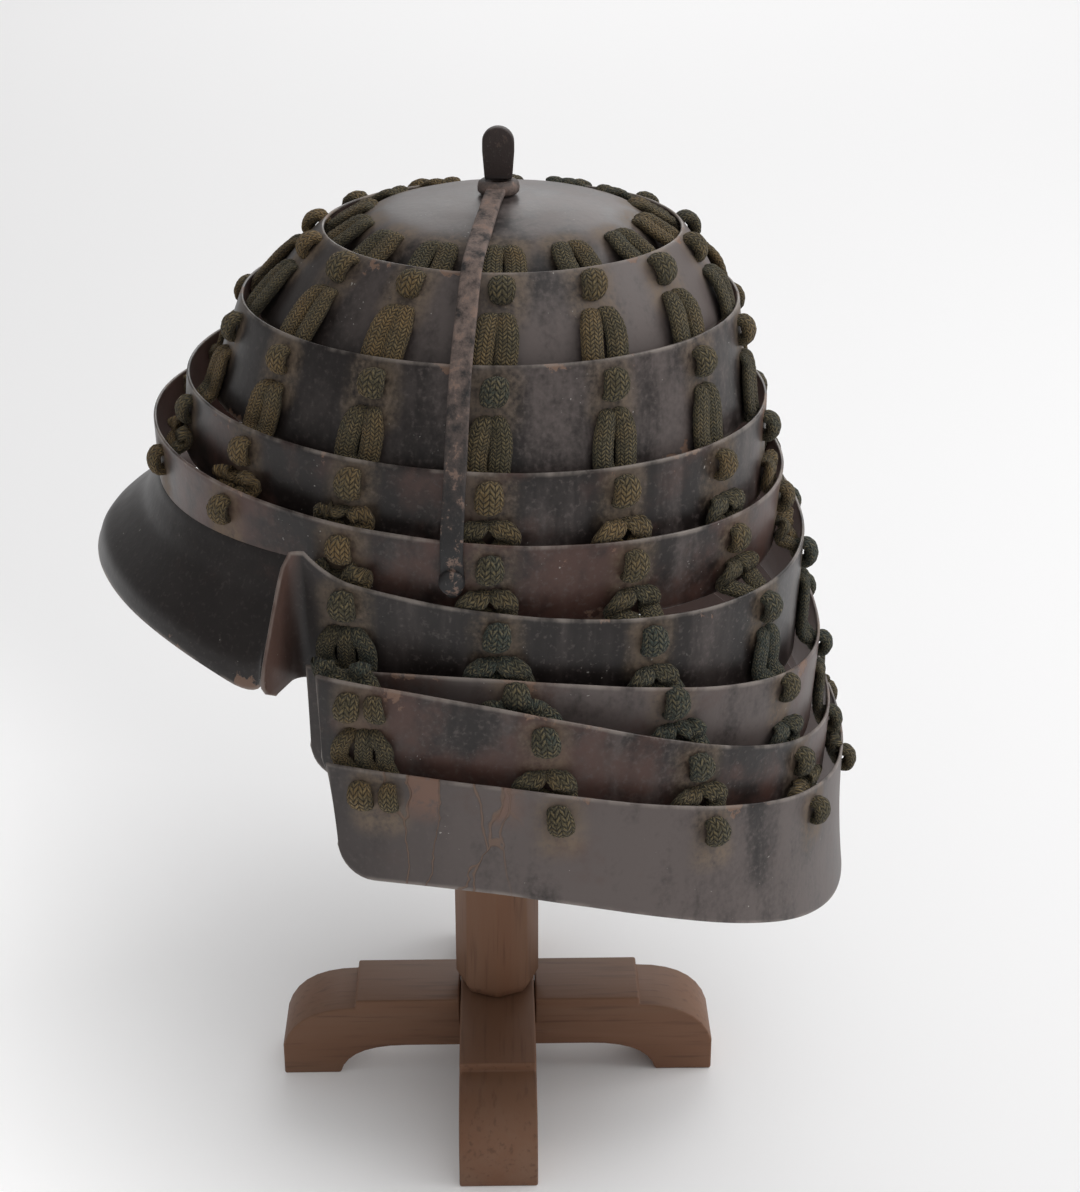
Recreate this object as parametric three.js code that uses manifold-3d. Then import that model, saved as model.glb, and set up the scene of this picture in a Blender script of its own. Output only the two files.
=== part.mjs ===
// Folding samurai helmet on its plain wooden stand. Millimetres, +Z up.
// The helmet faces -Y, the wearer's left is +X, and the stand's post is the Z axis until the last step.
// Iron rings hang inside one another on cord lacing, and a latched side bar holds the bowl open.
import * as THREE from "three";
import { mergeVertices } from "three/addons/utils/BufferGeometryUtils.js";
import Module from "manifold-3d";

// Plates
const PLATE = 1.6; // thickness of every iron plate
const SEAT = 0.35; // clearance between pieces that touch
const CAP_STEPS = 36; // facets round the cap
const FACET = THREE.MathUtils.degToRad(8.8); // width of the flat facet at each lacing hole
const BOWL_SQUARE = 2.0; // 2 is an ellipse in plan
const NECK_SQUARE = 2.3; // the neck guard is a little squarer

// Every edge is an oval seen from above: how far it reaches behind, before and beside the post,
// and its height at the back, the sides and the front.
const edge = (back, front, half, zBack, zSide, zFront) => ({ back, front, half, zBack, zSide, zFront });

// hole is the depth of the lacing holes below the top edge, lump the half thickness of the knot on it,
// spread the share of the even lacing angle, end the angle from the back where an open lame stops.
const PLATES = [
  { name: "bowl_ring_1", square: BOWL_SQUARE, bulge: 2.2, hole: 7, lump: 3.2, spread: 1,
    top: edge(67.4, 58.4, 59.8, 352.9, 353.2, 353.5), bottom: edge(83.4, 82.4, 78.8, 323.5, 324, 324.5) },
  { name: "bowl_ring_2", square: BOWL_SQUARE, bulge: 0, hole: 8.7, lump: 3.4, spread: 0.988,
    top: edge(88.5, 88.1, 83.9, 327.8, 329.1, 330.4), bottom: edge(92.8, 100.5, 92.6, 287.5, 293, 298) },
  { name: "bowl_ring_3", square: BOWL_SQUARE, bulge: 0, hole: 8.4, lump: 3.4, spread: 0.976,
    top: edge(99.5, 108.9, 99, 292.6, 298, 303.4), bottom: edge(99.5, 111.5, 101, 259.5, 268.5, 277.5) },
  { name: "bowl_ring_4", square: BOWL_SQUARE, bulge: 0, hole: 8.8, lump: 3.4, spread: 0.963,
    top: edge(106.7, 121.7, 108.5, 266.5, 277.2, 287.9), bottom: edge(104.5, 121, 106, 239.5, 247.5, 258) },
  { name: "neck_lame_1", square: NECK_SQUARE, bulge: 0, hole: 8.4, lump: 3.4, spread: 0.97, end: 117.5,
    top: edge(114.3, 123.6, 113.5, 244.8, 255.4, 284), bottom: edge(113, 121.5, 111, 199, 223, 222) },
  { name: "neck_lame_2", square: NECK_SQUARE, bulge: 0, hole: 5.5, lump: 2.4, spread: 0.95, end: 117.5,
    top: edge(122.2, 127, 118.6, 204.9, 233.4, 225), bottom: edge(120, 125.5, 117, 170, 190, 188) },
  { name: "neck_lame_3", square: NECK_SQUARE, bulge: 0, hole: 9, lump: 3.2, spread: 0.9, end: 113.5,
    top: edge(127.1, 135.3, 127.6, 176.5, 228.6, 234.2), bottom: edge(126, 133, 126, 153, 190, 186) },
  { name: "neck_lame_4", square: NECK_SQUARE, bulge: -1.2, hole: 9, lump: 3.4, spread: 0.89, end: 112,
    top: edge(133, 138.7, 133.7, 160.6, 201.8, 203.6), bottom: edge(135.2, 134.7, 136.8, 105.9, 162.6, 149.5) },
];
const BOWL_RINGS = 4;
const LAME_CORNER = 11; // radius of the lower corners at a lame's ends
const CORNER_STEPS = 3;

// Turned-back end of the first neck lame: how far it turns and how wide it is down its height
const FLAP_TURN = THREE.MathUtils.degToRad(90);
const FLAP_BEND = 5.5;
const FLAP_STEPS = 6;
const FLAP_WIDTHS = [ // share of the height from the top, width of the flap there
  { share: 0, width: 9 }, { share: 0.4, width: 22 }, { share: 0.85, width: 24 }, { share: 1, width: 15 },
];

// Cap: a shallow dome whose rim lies inside the first ring. Radii are along the helmet's length.
const CAP_BACK_SHIFT = 4.6;
const CAP_WIDTH_SHARE = 0.942;
const CAP_PROFILE = [ // from the apex to the hidden rim
  { radius: 28, z: 361.1 }, { radius: 44, z: 357.7 }, { radius: 52, z: 352.8 }, { radius: 57.5, z: 344 },
];
const CAP_TOP = 363.3;

// Visor: a flared brim round the front, hugging the lowest ring at its upper edge
const VISOR_TOP = 265.5;
const VISOR_ANGLE = 58.6; // to either side of the front, in degrees
const VISOR_STEPS = 20;
const VISOR_OUT = { front: 23, end: 19 };
const VISOR_DROP = { front: 29, end: 44, curve: 3 };
const VISOR_CORNER = { degrees: 6, lift: 7 };
const VISOR_PROFILE = [ // share of the reach, share of the drop
  { out: 0, down: 0 }, { out: 0.22, down: 0.34 }, { out: 0.56, down: 0.57 },
  { out: 0.87, down: 0.76 }, { out: 1, down: 1 },
];

// Lacing: pairs of cords that run down from the cap, through each plate, round the bowl
const COLUMNS = 14;
const NECK_COLUMNS_PER_SIDE = 5;
const END_MARGIN = 6.3; // degrees from the outermost neck column to its lame's end
const PAIR_HALF = 6.8; // half width of a cord pair on the outside
const PAIR_THICK = 2.2; // half thickness there
const RUN_HALF = 6.2; // and where it runs behind the next plate's edge
const RUN_THICK = 1.4;
const CORD_HALF = 2.8; // the cord in its hole
const CORD_THICK = 2.2;
const HOLE_CLEAR = 0.4;
const CAP_ENDS = [ // the cords' upper ends: depth down the cap's shoulder, half width, half thickness
  { depth: 1.5, half: 4, thick: 1.7 }, { depth: 4.5, half: 4.8, thick: 2 },
];
const CAP_LIFT = 2.7; // from the cap to the middle of the cords on it
const PAIR_LIFT = 3.1; // and from a ring to the middle of a pair on it
const PAIR_START = 6.8; // from a hole to the pair below its knot
const RUN_GAP = 0.8; // from a plate's back to the cords behind it
const HOLE_APPROACH = 2;
const LUMP_HALF = 5.4;
const LUMP_LIFT = 0.7;
const LONG_PAIR = 15; // a pair longer than this lies flat on its plate, a shorter one is a loop
const SHORT_PAIR = 5; // and one shorter than this goes straight to the next hole
const TAIL = { below: 5.6, lift: 2.4, half: 4.2, thick: 1.6 }; // cord ends under the last knot

// Top tab, side bar and its rivet
const TAB = { y: 3, width: 11.2, thick: 4.4, height: 18.4, taper: 0.8, shoulder: 10 };
const TAB_NECK = { width: 4.2, thick: 2.8, foot: 8, footThick: 1.8 };
const EYE = { radius: 7.4, thick: 4.6, sides: 14 };
const BAR_HALF = 3.5;
const BAR_THICK = 2.2;
const BAR_SLANT = 0.147; // the bar runs forward as it goes down
const BAR_PATH = [ // distance from the centre and height of the bar's middle line
  { x: 5, z: 365.9 }, { x: 20, z: 364.4 }, { x: 46, z: 359.4 }, { x: 60.8, z: 354.9 }, { x: 73, z: 343.8 },
  { x: 85.4, z: 330.2 }, { x: 93.8, z: 315.2 }, { x: 100.7, z: 298.7 }, { x: 110.2, z: 277.4 },
  { x: 109.4, z: 266 }, { x: 108.9, z: 258.8 },
];
const RIVET = { z: 264.7, x: 111.2, head: 4.2, brim: 0.2, shank: 1.7, inside: 8.4, sides: 10 };
const RIVET_DOME = [ // radius and height of the domed head, from its brim to its top
  { radius: 3.8, height: 1.3 }, { radius: 2.3, height: 2.2 }, { radius: 0, height: 2.4 },
];
const RIVET_END = { radius: 3.1, thick: 1.5 }; // the spread end inside the bowl

// Stand: two crossed beams and an octagonal post
const BEAM = { half: 87.5, width: 30, block: 57.5, top: 35.1, shoulder: 31.6 };
const BEAM_END = { height: 14, foot: 23, curve: 5 };
const ARCH = { height: 13, flat: 37.5, curve: 3 };
const LAP = 24; // height where the two beams are halved into each other
const POST = { radius: 17, foot: 14.6, footHeight: 5, sides: 8, top: 358.6 };

const IRON = new THREE.MeshStandardMaterial({ color: 0x2b2627, roughness: 0.5, metalness: 0.35 });
const BAR_IRON = new THREE.MeshStandardMaterial({ color: 0x4a3b38, roughness: 0.7, metalness: 0.4 });
const CORD = new THREE.MeshStandardMaterial({ color: 0x4d4a33, roughness: 1, metalness: 0 });
const WOOD = new THREE.MeshStandardMaterial({ color: 0x6a4a3c, roughness: 0.6, metalness: 0 });

const radians = THREE.MathUtils.degToRad;
const helmet = new THREE.Group();

function addPiece(name, geometry, material) {
  const piece = new THREE.Mesh(geometry, material.clone());
  piece.name = name;
  helmet.add(piece);
}

// Booleans on closed geometries
const wasm = await Module();
wasm.setup();

function solidOf(geometry) {
  const bare = geometry.clone();
  for (const extra of Object.keys(bare.attributes)) {
    if (extra !== "position") bare.deleteAttribute(extra);
  }
  const merged = mergeVertices(bare, 1e-4);
  const vertProperties = new Float32Array(merged.attributes.position.array);
  const triVerts = new Uint32Array(merged.index.array);
  return new wasm.Manifold(new wasm.Mesh({ numProp: 3, vertProperties, triVerts }));
}

function geometryOf(solid) {
  const mesh = solid.getMesh();
  const geometry = new THREE.BufferGeometry();
  geometry.setAttribute("position", new THREE.BufferAttribute(new Float32Array(mesh.vertProperties), 3));
  geometry.setIndex(new THREE.BufferAttribute(new Uint32Array(mesh.triVerts), 1));
  return geometry;
}

function cut(geometry, tools) {
  let solid = solidOf(geometry);
  for (const tool of tools) solid = solid.subtract(solidOf(tool));
  return geometryOf(solid);
}

function join(geometries) {
  return geometryOf(geometries.map(solidOf).reduce((whole, next) => whole.add(next)));
}

function facets(points, triangles) {
  const geometry = new THREE.BufferGeometry();
  geometry.setAttribute("position", new THREE.Float32BufferAttribute(points.flatMap((p) => p.toArray()), 3));
  geometry.setIndex(triangles.flat());
  return geometry;
}

// Ovals and walls
function edgePoint(oval, square, angle) {
  const centre = (oval.front - oval.back) / 2;
  const reach = (oval.front + oval.back) / 2;
  const along = Math.cos(angle);
  const across = Math.sin(angle);
  const grow = (Math.abs(along) ** square + Math.abs(across) ** square) ** (-1 / square);
  const ahead = -along * grow;
  const tilt = (oval.zFront - oval.zBack) / 2;
  const sag = (oval.zFront + oval.zBack) / 2 - oval.zSide;
  return new THREE.Vector3(
    oval.half * across * grow,
    -(centre + reach * ahead),
    oval.zSide + tilt * ahead + sag * ahead * ahead,
  );
}

function levelNormal(pointAt, angle) {
  const step = 1e-3;
  const way = pointAt(angle + step).sub(pointAt(angle - step));
  return new THREE.Vector3(-way.y, way.x, 0).normalize();
}

function wallPoint(plate, angle, share) {
  const point = edgePoint(plate.top, plate.square, angle)
    .lerp(edgePoint(plate.bottom, plate.square, angle), share);
  const normal = levelNormal((a) => edgePoint(plate.top, plate.square, a), angle);
  return point.addScaledVector(normal, plate.bulge * 4 * share * (1 - share));
}

// A sheet of even thickness behind a grid of outer points, rows from the top down
function sheet(rows, closed) {
  const columns = rows[0].length;
  const count = rows.length * columns;
  const at = (i, j) => i * columns + (closed ? (j + columns) % columns : j);
  const pick = (i, j) => {
    const row = rows[THREE.MathUtils.clamp(i, 0, rows.length - 1)];
    return row[closed ? (j + columns) % columns : THREE.MathUtils.clamp(j, 0, columns - 1)];
  };
  const outer = rows.flat();
  const inner = [];
  rows.forEach((row, i) => row.forEach((point, j) => {
    const across = pick(i, j + 1).clone().sub(pick(i, j - 1));
    const down = pick(i + 1, j).clone().sub(pick(i - 1, j));
    inner.push(point.clone().addScaledVector(across.cross(down).normalize(), -PLATE));
  }));
  const triangles = [];
  const quad = (a, b, c, d) => triangles.push([a, b, c], [a, c, d]);
  const last = rows.length - 1;
  const spans = closed ? columns : columns - 1;
  for (let j = 0; j < spans; j += 1) {
    for (let i = 0; i < last; i += 1) {
      quad(at(i, j), at(i, j + 1), at(i + 1, j + 1), at(i + 1, j));
      quad(count + at(i, j), count + at(i + 1, j), count + at(i + 1, j + 1), count + at(i, j + 1));
    }
    quad(at(0, j), count + at(0, j), count + at(0, j + 1), at(0, j + 1));
    quad(at(last, j), at(last, j + 1), count + at(last, j + 1), count + at(last, j));
  }
  if (!closed) {
    const end = columns - 1;
    for (let i = 0; i < last; i += 1) {
      quad(at(i, 0), at(i + 1, 0), count + at(i + 1, 0), count + at(i, 0));
      quad(at(i, end), count + at(i, end), count + at(i + 1, end), at(i + 1, end));
    }
  }
  return facets([...outer, ...inner], triangles);
}

function shares(plate) {
  return plate.bulge === 0 ? [0, 1] : [0, 0.5, 1];
}

// Angles of the facets along a plate: a flat one at each lacing hole and two between neighbours
function stepAngles(plate) {
  const holes = holeAngles(plate);
  return holes.flatMap((angle, k) => {
    const flat = [angle - FACET / 2, angle + FACET / 2];
    return k + 1 < holes.length ? [...flat, (angle + holes[k + 1]) / 2] : flat;
  });
}

function ringSheet(plate) {
  const steps = stepAngles(plate);
  const front = [steps.at(-1) + (Math.PI - steps.at(-1)) / 2, Math.PI];
  const angles = [...steps, ...front, -front[0]];
  return sheet(shares(plate).map((share) => angles.map((angle) => wallPoint(plate, angle, share))), true);
}

// Angles of an open lame from one end to the other, with short steps at its rounded corners
function lameAngles(plate) {
  const end = radians(plate.end);
  const corner = LAME_CORNER / plate.top.half;
  const steps = stepAngles(plate);
  const turns = Array.from({ length: CORNER_STEPS }, (_, k) =>
    end - corner * (1 - Math.sin(((k + 1) / CORNER_STEPS) * Math.PI / 2)));
  const past = turns.filter((angle) => angle > steps.at(-1) + FACET / 20);
  return [...past.map((angle) => -angle).reverse(), ...steps, ...past];
}

// How much of the wall's height is left at an angle near the lame's end
function cornerShare(plate, angle) {
  const corner = LAME_CORNER / plate.top.half;
  const into = Math.max(0, Math.abs(angle) - (radians(plate.end) - corner)) / corner;
  const height = wallPoint(plate, angle, 0).distanceTo(wallPoint(plate, angle, 1));
  return 1 - (LAME_CORNER / height) * (1 - Math.sqrt(Math.max(0, 1 - into * into)));
}

function lameSheet(plate) {
  const angles = lameAngles(plate);
  return sheet(shares(plate).map((share) =>
    angles.map((angle) => wallPoint(plate, angle, share * cornerShare(plate, angle)))), false);
}

function flapWidth(share) {
  const above = FLAP_WIDTHS.findLast((row) => row.share <= share);
  const below = FLAP_WIDTHS.find((row) => row.share > share) ?? above;
  const between = below === above ? 0 : (share - above.share) / (below.share - above.share);
  return THREE.MathUtils.lerp(above.width, below.width, between);
}

// A point of the turned-back end: the plate bends outwards along an arc and then goes straight
function flapPoint(plate, side, share, step) {
  const angle = side * radians(plate.end);
  const normal = levelNormal((a) => edgePoint(plate.top, plate.square, a), angle);
  const forward = new THREE.Vector3(-normal.y, normal.x, 0).multiplyScalar(-side);
  const run = flapWidth(share) * step / FLAP_STEPS;
  const turn = Math.min(FLAP_TURN, run / FLAP_BEND);
  const rest = run - turn * FLAP_BEND;
  const ahead = FLAP_BEND * Math.sin(turn) + rest * Math.cos(turn);
  const out = FLAP_BEND * (1 - Math.cos(turn)) + rest * Math.sin(turn);
  return wallPoint(plate, angle, share).addScaledVector(forward, ahead).addScaledVector(normal, out);
}

function flappedSheet(plate) {
  const end = radians(plate.end);
  const angles = [-end, ...stepAngles(plate), end];
  const steps = Array.from({ length: FLAP_STEPS }, (_, k) => k + 1);
  return sheet(FLAP_WIDTHS.map(({ share }) => [
    ...steps.map((step) => flapPoint(plate, -1, share, step)).reverse(),
    ...angles.map((angle) => wallPoint(plate, angle, share)),
    ...steps.map((step) => flapPoint(plate, 1, share, step)),
  ]), false);
}

// Lacing columns: their even angles, and the local frame on a plate's outside
const columnAngles = Array.from({ length: COLUMNS }, (_, k) => ((k + 0.5) / COLUMNS - 0.5) * 2 * Math.PI);

function hasNeck(angle) {
  return Math.abs(angle) < (NECK_COLUMNS_PER_SIDE * 2 * Math.PI) / COLUMNS;
}

// Where a column crosses a plate: spread evenly, but near the end on an open lame
function angleOn(plate, columnAngle) {
  const outermost = Math.abs(columnAngle) > ((NECK_COLUMNS_PER_SIDE - 1) * 2 * Math.PI) / COLUMNS;
  if (plate.end === undefined || !outermost) return columnAngle * plate.spread;
  return Math.sign(columnAngle) * radians(plate.end - END_MARGIN);
}

function holeAngles(plate) {
  const whole = plate.end === undefined;
  return columnAngles.filter((angle) => whole || hasNeck(angle)).map((angle) => angleOn(plate, angle));
}

function frameOn(plate, columnAngle) {
  const angle = angleOn(plate, columnAngle);
  const edgeTop = wallPoint(plate, angle, 0);
  const down = wallPoint(plate, angle, 0.5).sub(edgeTop).normalize();
  const level = levelNormal((a) => edgePoint(plate.top, plate.square, a), angle);
  const across = new THREE.Vector3(-level.y, level.x, 0);
  const out = down.clone().cross(across).normalize();
  if (out.dot(level) < 0) out.negate();
  const place = (depth, off) => edgeTop.clone().addScaledVector(down, depth).addScaledVector(out, off);
  return { edgeTop, down, out, across, place };
}

function lacingHole(plate, columnAngle) {
  const { down, out, across, place } = frameOn(plate, columnAngle);
  const hole = new THREE.BoxGeometry(2 * (CORD_HALF + HOLE_CLEAR), 2 * (CORD_THICK + HOLE_CLEAR), 5 * PLATE);
  const turn = new THREE.Matrix4().makeBasis(down.clone().cross(out), down, out);
  hole.applyMatrix4(turn.setPosition(place(plate.hole, -PLATE / 2)));
  return hole;
}

function section(centre, across, through, half, thick) {
  return [[1, 1], [-1, 1], [-1, -1], [1, -1]].map(([a, b]) =>
    centre.clone().addScaledVector(across, a * half).addScaledVector(through, b * thick));
}

// A solid lofted through four-cornered sections
function loft(sections) {
  const triangles = [[0, 2, 1], [0, 3, 2]];
  sections.slice(1).forEach((_, k) => {
    for (let a = 0; a < 4; a += 1) {
      const b = (a + 1) % 4;
      const here = 4 * k;
      const next = here + 4;
      triangles.push([here + a, here + b, next + b], [here + a, next + b, next + a]);
    }
  });
  const tip = 4 * (sections.length - 1);
  triangles.push([tip, tip + 1, tip + 2], [tip, tip + 2, tip + 3]);
  return facets(sections.flat(), triangles);
}

const capWall = {
  square: BOWL_SQUARE, bulge: 0, spread: 1,
  top: capOval(CAP_PROFILE[1]), bottom: capOval(CAP_PROFILE[2]),
};

function capOval({ radius, z }) {
  return edge(radius + CAP_BACK_SHIFT, radius - CAP_BACK_SHIFT, radius * CAP_WIDTH_SHARE, z, z, z);
}

// One column: flat on a plate, behind the next plate's edge, out through its hole, a knot, and down again
function lacing(columnAngle) {
  const plates = hasNeck(columnAngle) ? PLATES : PLATES.slice(0, BOWL_RINGS);
  const first = frameOn(capWall, columnAngle);
  const sections = CAP_ENDS.map(({ depth, half, thick }) =>
    section(first.place(depth, CAP_LIFT), first.across, first.out, half, thick));
  plates.forEach((plate, k) => {
    const { edgeTop, down, out, across, place } = frameOn(plate, columnAngle);
    const slanted = out.clone().sub(down).normalize();
    const before = k > 0 ? frameOn(plates[k - 1], columnAngle) : first;
    const drop = before.edgeTop.z - edgeTop.z;
    const knot = k > 0 ? plates[k - 1].hole : 0;
    if (k > 0 && drop > knot + LONG_PAIR) {
      const pair = before.place(knot + PAIR_START, PAIR_LIFT);
      sections.push(section(pair, before.across, before.out, PAIR_HALF, PAIR_THICK));
    }
    if (drop > knot + SHORT_PAIR) {
      sections.push(section(place(-1, -PLATE - RUN_GAP - RUN_THICK), across, out, RUN_HALF, RUN_THICK));
    }
    const behind = place(plate.hole - 1, -PLATE - HOLE_APPROACH);
    sections.push(section(behind, across, slanted, CORD_HALF, RUN_THICK));
    sections.push(section(place(plate.hole, LUMP_LIFT), across, down.clone().negate(), CORD_HALF, CORD_THICK));
    sections.push(section(place(plate.hole + LUMP_LIFT, plate.lump + LUMP_LIFT), across, slanted,
      LUMP_HALF, plate.lump));
  });
  const lowest = plates.at(-1);
  const { out, across, place } = frameOn(lowest, columnAngle);
  sections.push(section(place(lowest.hole + TAIL.below, TAIL.lift), across, out, TAIL.half, TAIL.thick));
  return loft(sections);
}

// Cap
function capGeometry() {
  const outer = [{ radius: 0, z: CAP_TOP }, ...CAP_PROFILE];
  const inner = outer.map(({ radius, z }, k) => {
    const ahead = outer[Math.min(k + 1, outer.length - 1)];
    const behind = outer[Math.max(k - 1, 0)];
    const slope = k === 0 ? 0 : Math.atan2(behind.z - ahead.z, ahead.radius - behind.radius);
    return { radius: Math.max(0, radius - PLATE * Math.sin(slope)), z: z - PLATE * Math.cos(slope) };
  });
  const profile = [...inner, ...outer.reverse()].map(({ radius, z }) => new THREE.Vector2(radius, z));
  const dome = new THREE.LatheGeometry(profile, CAP_STEPS);
  dome.rotateX(Math.PI / 2);
  dome.scale(CAP_WIDTH_SHARE, 1, 1);
  dome.translate(0, CAP_BACK_SHIFT, 0);
  const hole = new THREE.BoxGeometry(TAB_NECK.thick + 2 * SEAT, TAB_NECK.width + 2 * SEAT, 8 * PLATE);
  hole.translate(0, TAB.y, CAP_TOP);
  return cut(dome, [hole]);
}

// Visor
function visorPoint(angle, { out, down }) {
  const ring = PLATES[BOWL_RINGS - 1];
  const fromFront = Math.PI - Math.abs(angle);
  const towardsEnd = fromFront / radians(VISOR_ANGLE);
  const drop = THREE.MathUtils.lerp(VISOR_DROP.front, VISOR_DROP.end, towardsEnd ** VISOR_DROP.curve);
  const reach = THREE.MathUtils.lerp(VISOR_OUT.front, VISOR_OUT.end, towardsEnd);
  const cornerWidth = radians(VISOR_CORNER.degrees);
  const corner = Math.max(0, fromFront - radians(VISOR_ANGLE) + cornerWidth) / cornerWidth;
  const lift = VISOR_CORNER.lift * (1 - Math.sqrt(Math.max(0, 1 - corner * corner))) * down;
  const ringTop = wallPoint(ring, angle, 0);
  const ringBottom = wallPoint(ring, angle, 1);
  const share = (ringTop.z - VISOR_TOP) / (ringTop.z - ringBottom.z);
  const normal = levelNormal((a) => edgePoint(ring.top, ring.square, a), angle);
  const point = wallPoint(ring, angle, share).addScaledVector(normal, SEAT + PLATE + reach * out);
  point.z = VISOR_TOP - drop * down + lift;
  return point;
}

function visorGeometry() {
  const end = radians(VISOR_ANGLE);
  const angles = Array.from({ length: VISOR_STEPS + 1 }, (_, k) => Math.PI + (2 * k / VISOR_STEPS - 1) * end);
  const wrapped = angles.map((angle) => (angle > Math.PI ? angle - 2 * Math.PI : angle));
  return sheet(VISOR_PROFILE.map((row) => wrapped.map((angle) => visorPoint(angle, row))), false);
}

// Tab, bar and rivet
function tabGeometry() {
  const eyeTop = CAP_TOP + 2 * SEAT + EYE.thick;
  const half = TAB.width / 2;
  const outline = new THREE.Shape();
  outline.moveTo(-half + TAB.taper, 0);
  outline.lineTo(half - TAB.taper, 0);
  outline.lineTo(half, TAB.shoulder);
  outline.absarc(0, TAB.height - half, half, 0, Math.PI);
  outline.lineTo(-half, TAB.shoulder);
  const head = new THREE.ExtrudeGeometry(outline, { depth: TAB.thick, bevelEnabled: false, curveSegments: 10 });
  head.translate(0, 0, -TAB.thick / 2);
  head.rotateX(Math.PI / 2);
  head.rotateZ(Math.PI / 2);
  head.translate(0, TAB.y, eyeTop);
  const under = CAP_TOP - PLATE - 2.5 * SEAT;
  const neck = new THREE.BoxGeometry(TAB_NECK.thick, TAB_NECK.width, eyeTop - under + TAB_NECK.footThick);
  neck.translate(0, TAB.y, (eyeTop + under) / 2);
  const foot = new THREE.BoxGeometry(TAB_NECK.foot, TAB_NECK.foot, TAB_NECK.footThick);
  foot.translate(0, TAB.y, under - TAB_NECK.footThick / 2);
  return join([head, neck, foot]);
}

function barGeometry() {
  const place = ({ x, z }) => new THREE.Vector3(x, TAB.y - BAR_SLANT * x, z);
  const middle = BAR_PATH.map(place);
  const sections = middle.map((point, k) => {
    const way = middle[Math.min(k + 1, middle.length - 1)].clone().sub(middle[Math.max(k - 1, 0)]);
    const across = new THREE.Vector3(way.y, -way.x, 0).normalize();
    return section(point, across, way.cross(across).normalize(), BAR_HALF, BAR_THICK / 2);
  });
  const eye = new THREE.CylinderGeometry(EYE.radius, EYE.radius, EYE.thick, EYE.sides);
  eye.rotateX(Math.PI / 2);
  eye.translate(0, TAB.y, CAP_TOP + SEAT + EYE.thick / 2);
  const slot = new THREE.BoxGeometry(TAB_NECK.thick + 2 * SEAT, TAB_NECK.width + 2 * SEAT, 2 * EYE.thick);
  slot.translate(0, TAB.y, BAR_PATH[0].z);
  return cut(join([loft(sections), eye]), [slot, rivetHole()]);
}

const rivetY = TAB.y - BAR_SLANT * RIVET.x;

function rivetHole() {
  const radius = RIVET.shank + SEAT;
  const hole = new THREE.CylinderGeometry(radius, radius, 2 * RIVET.inside, RIVET.sides);
  hole.rotateZ(Math.PI / 2);
  hole.translate(RIVET.x, rivetY, RIVET.z);
  return hole;
}

function rivetGeometry() {
  const profile = [
    { radius: 0, height: -RIVET.inside },
    { radius: RIVET_END.radius, height: -RIVET.inside },
    { radius: RIVET_END.radius, height: RIVET_END.thick - RIVET.inside },
    { radius: RIVET.shank, height: RIVET_END.thick - RIVET.inside },
    { radius: RIVET.shank, height: RIVET.brim },
    { radius: RIVET.head, height: RIVET.brim },
    ...RIVET_DOME,
  ].map(({ radius, height }) => new THREE.Vector2(radius, height));
  const rivet = new THREE.LatheGeometry(profile, RIVET.sides);
  rivet.rotateZ(-Math.PI / 2);
  rivet.translate(RIVET.x, rivetY, RIVET.z);
  return rivet;
}

// Stand
function beamGeometry(lapFrom, lapTo) {
  const outline = new THREE.Shape();
  const inner = BEAM.half - BEAM_END.foot;
  outline.moveTo(-BEAM.half, 0);
  outline.lineTo(-inner, 0);
  outline.quadraticCurveTo(-inner + ARCH.curve, ARCH.height, -ARCH.flat, ARCH.height);
  outline.lineTo(ARCH.flat, ARCH.height);
  outline.quadraticCurveTo(inner - ARCH.curve, ARCH.height, inner, 0);
  outline.lineTo(BEAM.half, 0);
  outline.lineTo(BEAM.half, BEAM_END.height);
  outline.quadraticCurveTo(BEAM.half - BEAM_END.curve, BEAM.shoulder, BEAM.block, BEAM.shoulder);
  outline.lineTo(BEAM.block, BEAM.top);
  outline.lineTo(-BEAM.block, BEAM.top);
  outline.lineTo(-BEAM.block, BEAM.shoulder);
  outline.quadraticCurveTo(-BEAM.half + BEAM_END.curve, BEAM.shoulder, -BEAM.half, BEAM_END.height);
  const beam = new THREE.ExtrudeGeometry(outline, { depth: BEAM.width, bevelEnabled: false, curveSegments: 7 });
  beam.translate(0, 0, -BEAM.width / 2);
  beam.rotateX(Math.PI / 2);
  const lap = new THREE.BoxGeometry(BEAM.width + 2 * SEAT, 2 * BEAM.width, lapTo - lapFrom);
  lap.translate(0, 0, (lapFrom + lapTo) / 2);
  return cut(beam, [lap]);
}

function postGeometry() {
  const from = BEAM.top + SEAT;
  const profile = [
    new THREE.Vector2(0, from),
    new THREE.Vector2(POST.foot, from),
    new THREE.Vector2(POST.radius, from + POST.footHeight),
    new THREE.Vector2(POST.radius, POST.top),
    new THREE.Vector2(0, POST.top),
  ];
  return new THREE.LatheGeometry(profile, POST.sides).rotateX(Math.PI / 2);
}

// Assembly
addPiece("cap", capGeometry(), IRON);
PLATES.forEach((plate, k) => {
  const isNeck = k >= BOWL_RINGS;
  const columns = columnAngles.filter((angle) => !isNeck || hasNeck(angle));
  const holes = columns.map((angle) => lacingHole(plate, angle));
  if (k === BOWL_RINGS - 1) holes.push(rivetHole());
  const open = k === BOWL_RINGS ? flappedSheet : lameSheet;
  addPiece(plate.name, cut(isNeck ? open(plate) : ringSheet(plate), holes), IRON);
});
addPiece("visor", visorGeometry(), IRON);
columnAngles.forEach((angle, k) => {
  addPiece(`lacing_${String(k + 1).padStart(2, "0")}`, lacing(angle), CORD);
});
addPiece("top_tab", tabGeometry(), BAR_IRON);
addPiece("side_bar", barGeometry(), BAR_IRON);
addPiece("bar_rivet", rivetGeometry(), BAR_IRON);
addPiece("stand_post", postGeometry(), WOOD);
addPiece("stand_beam_side", beamGeometry(0, LAP), WOOD);
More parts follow.
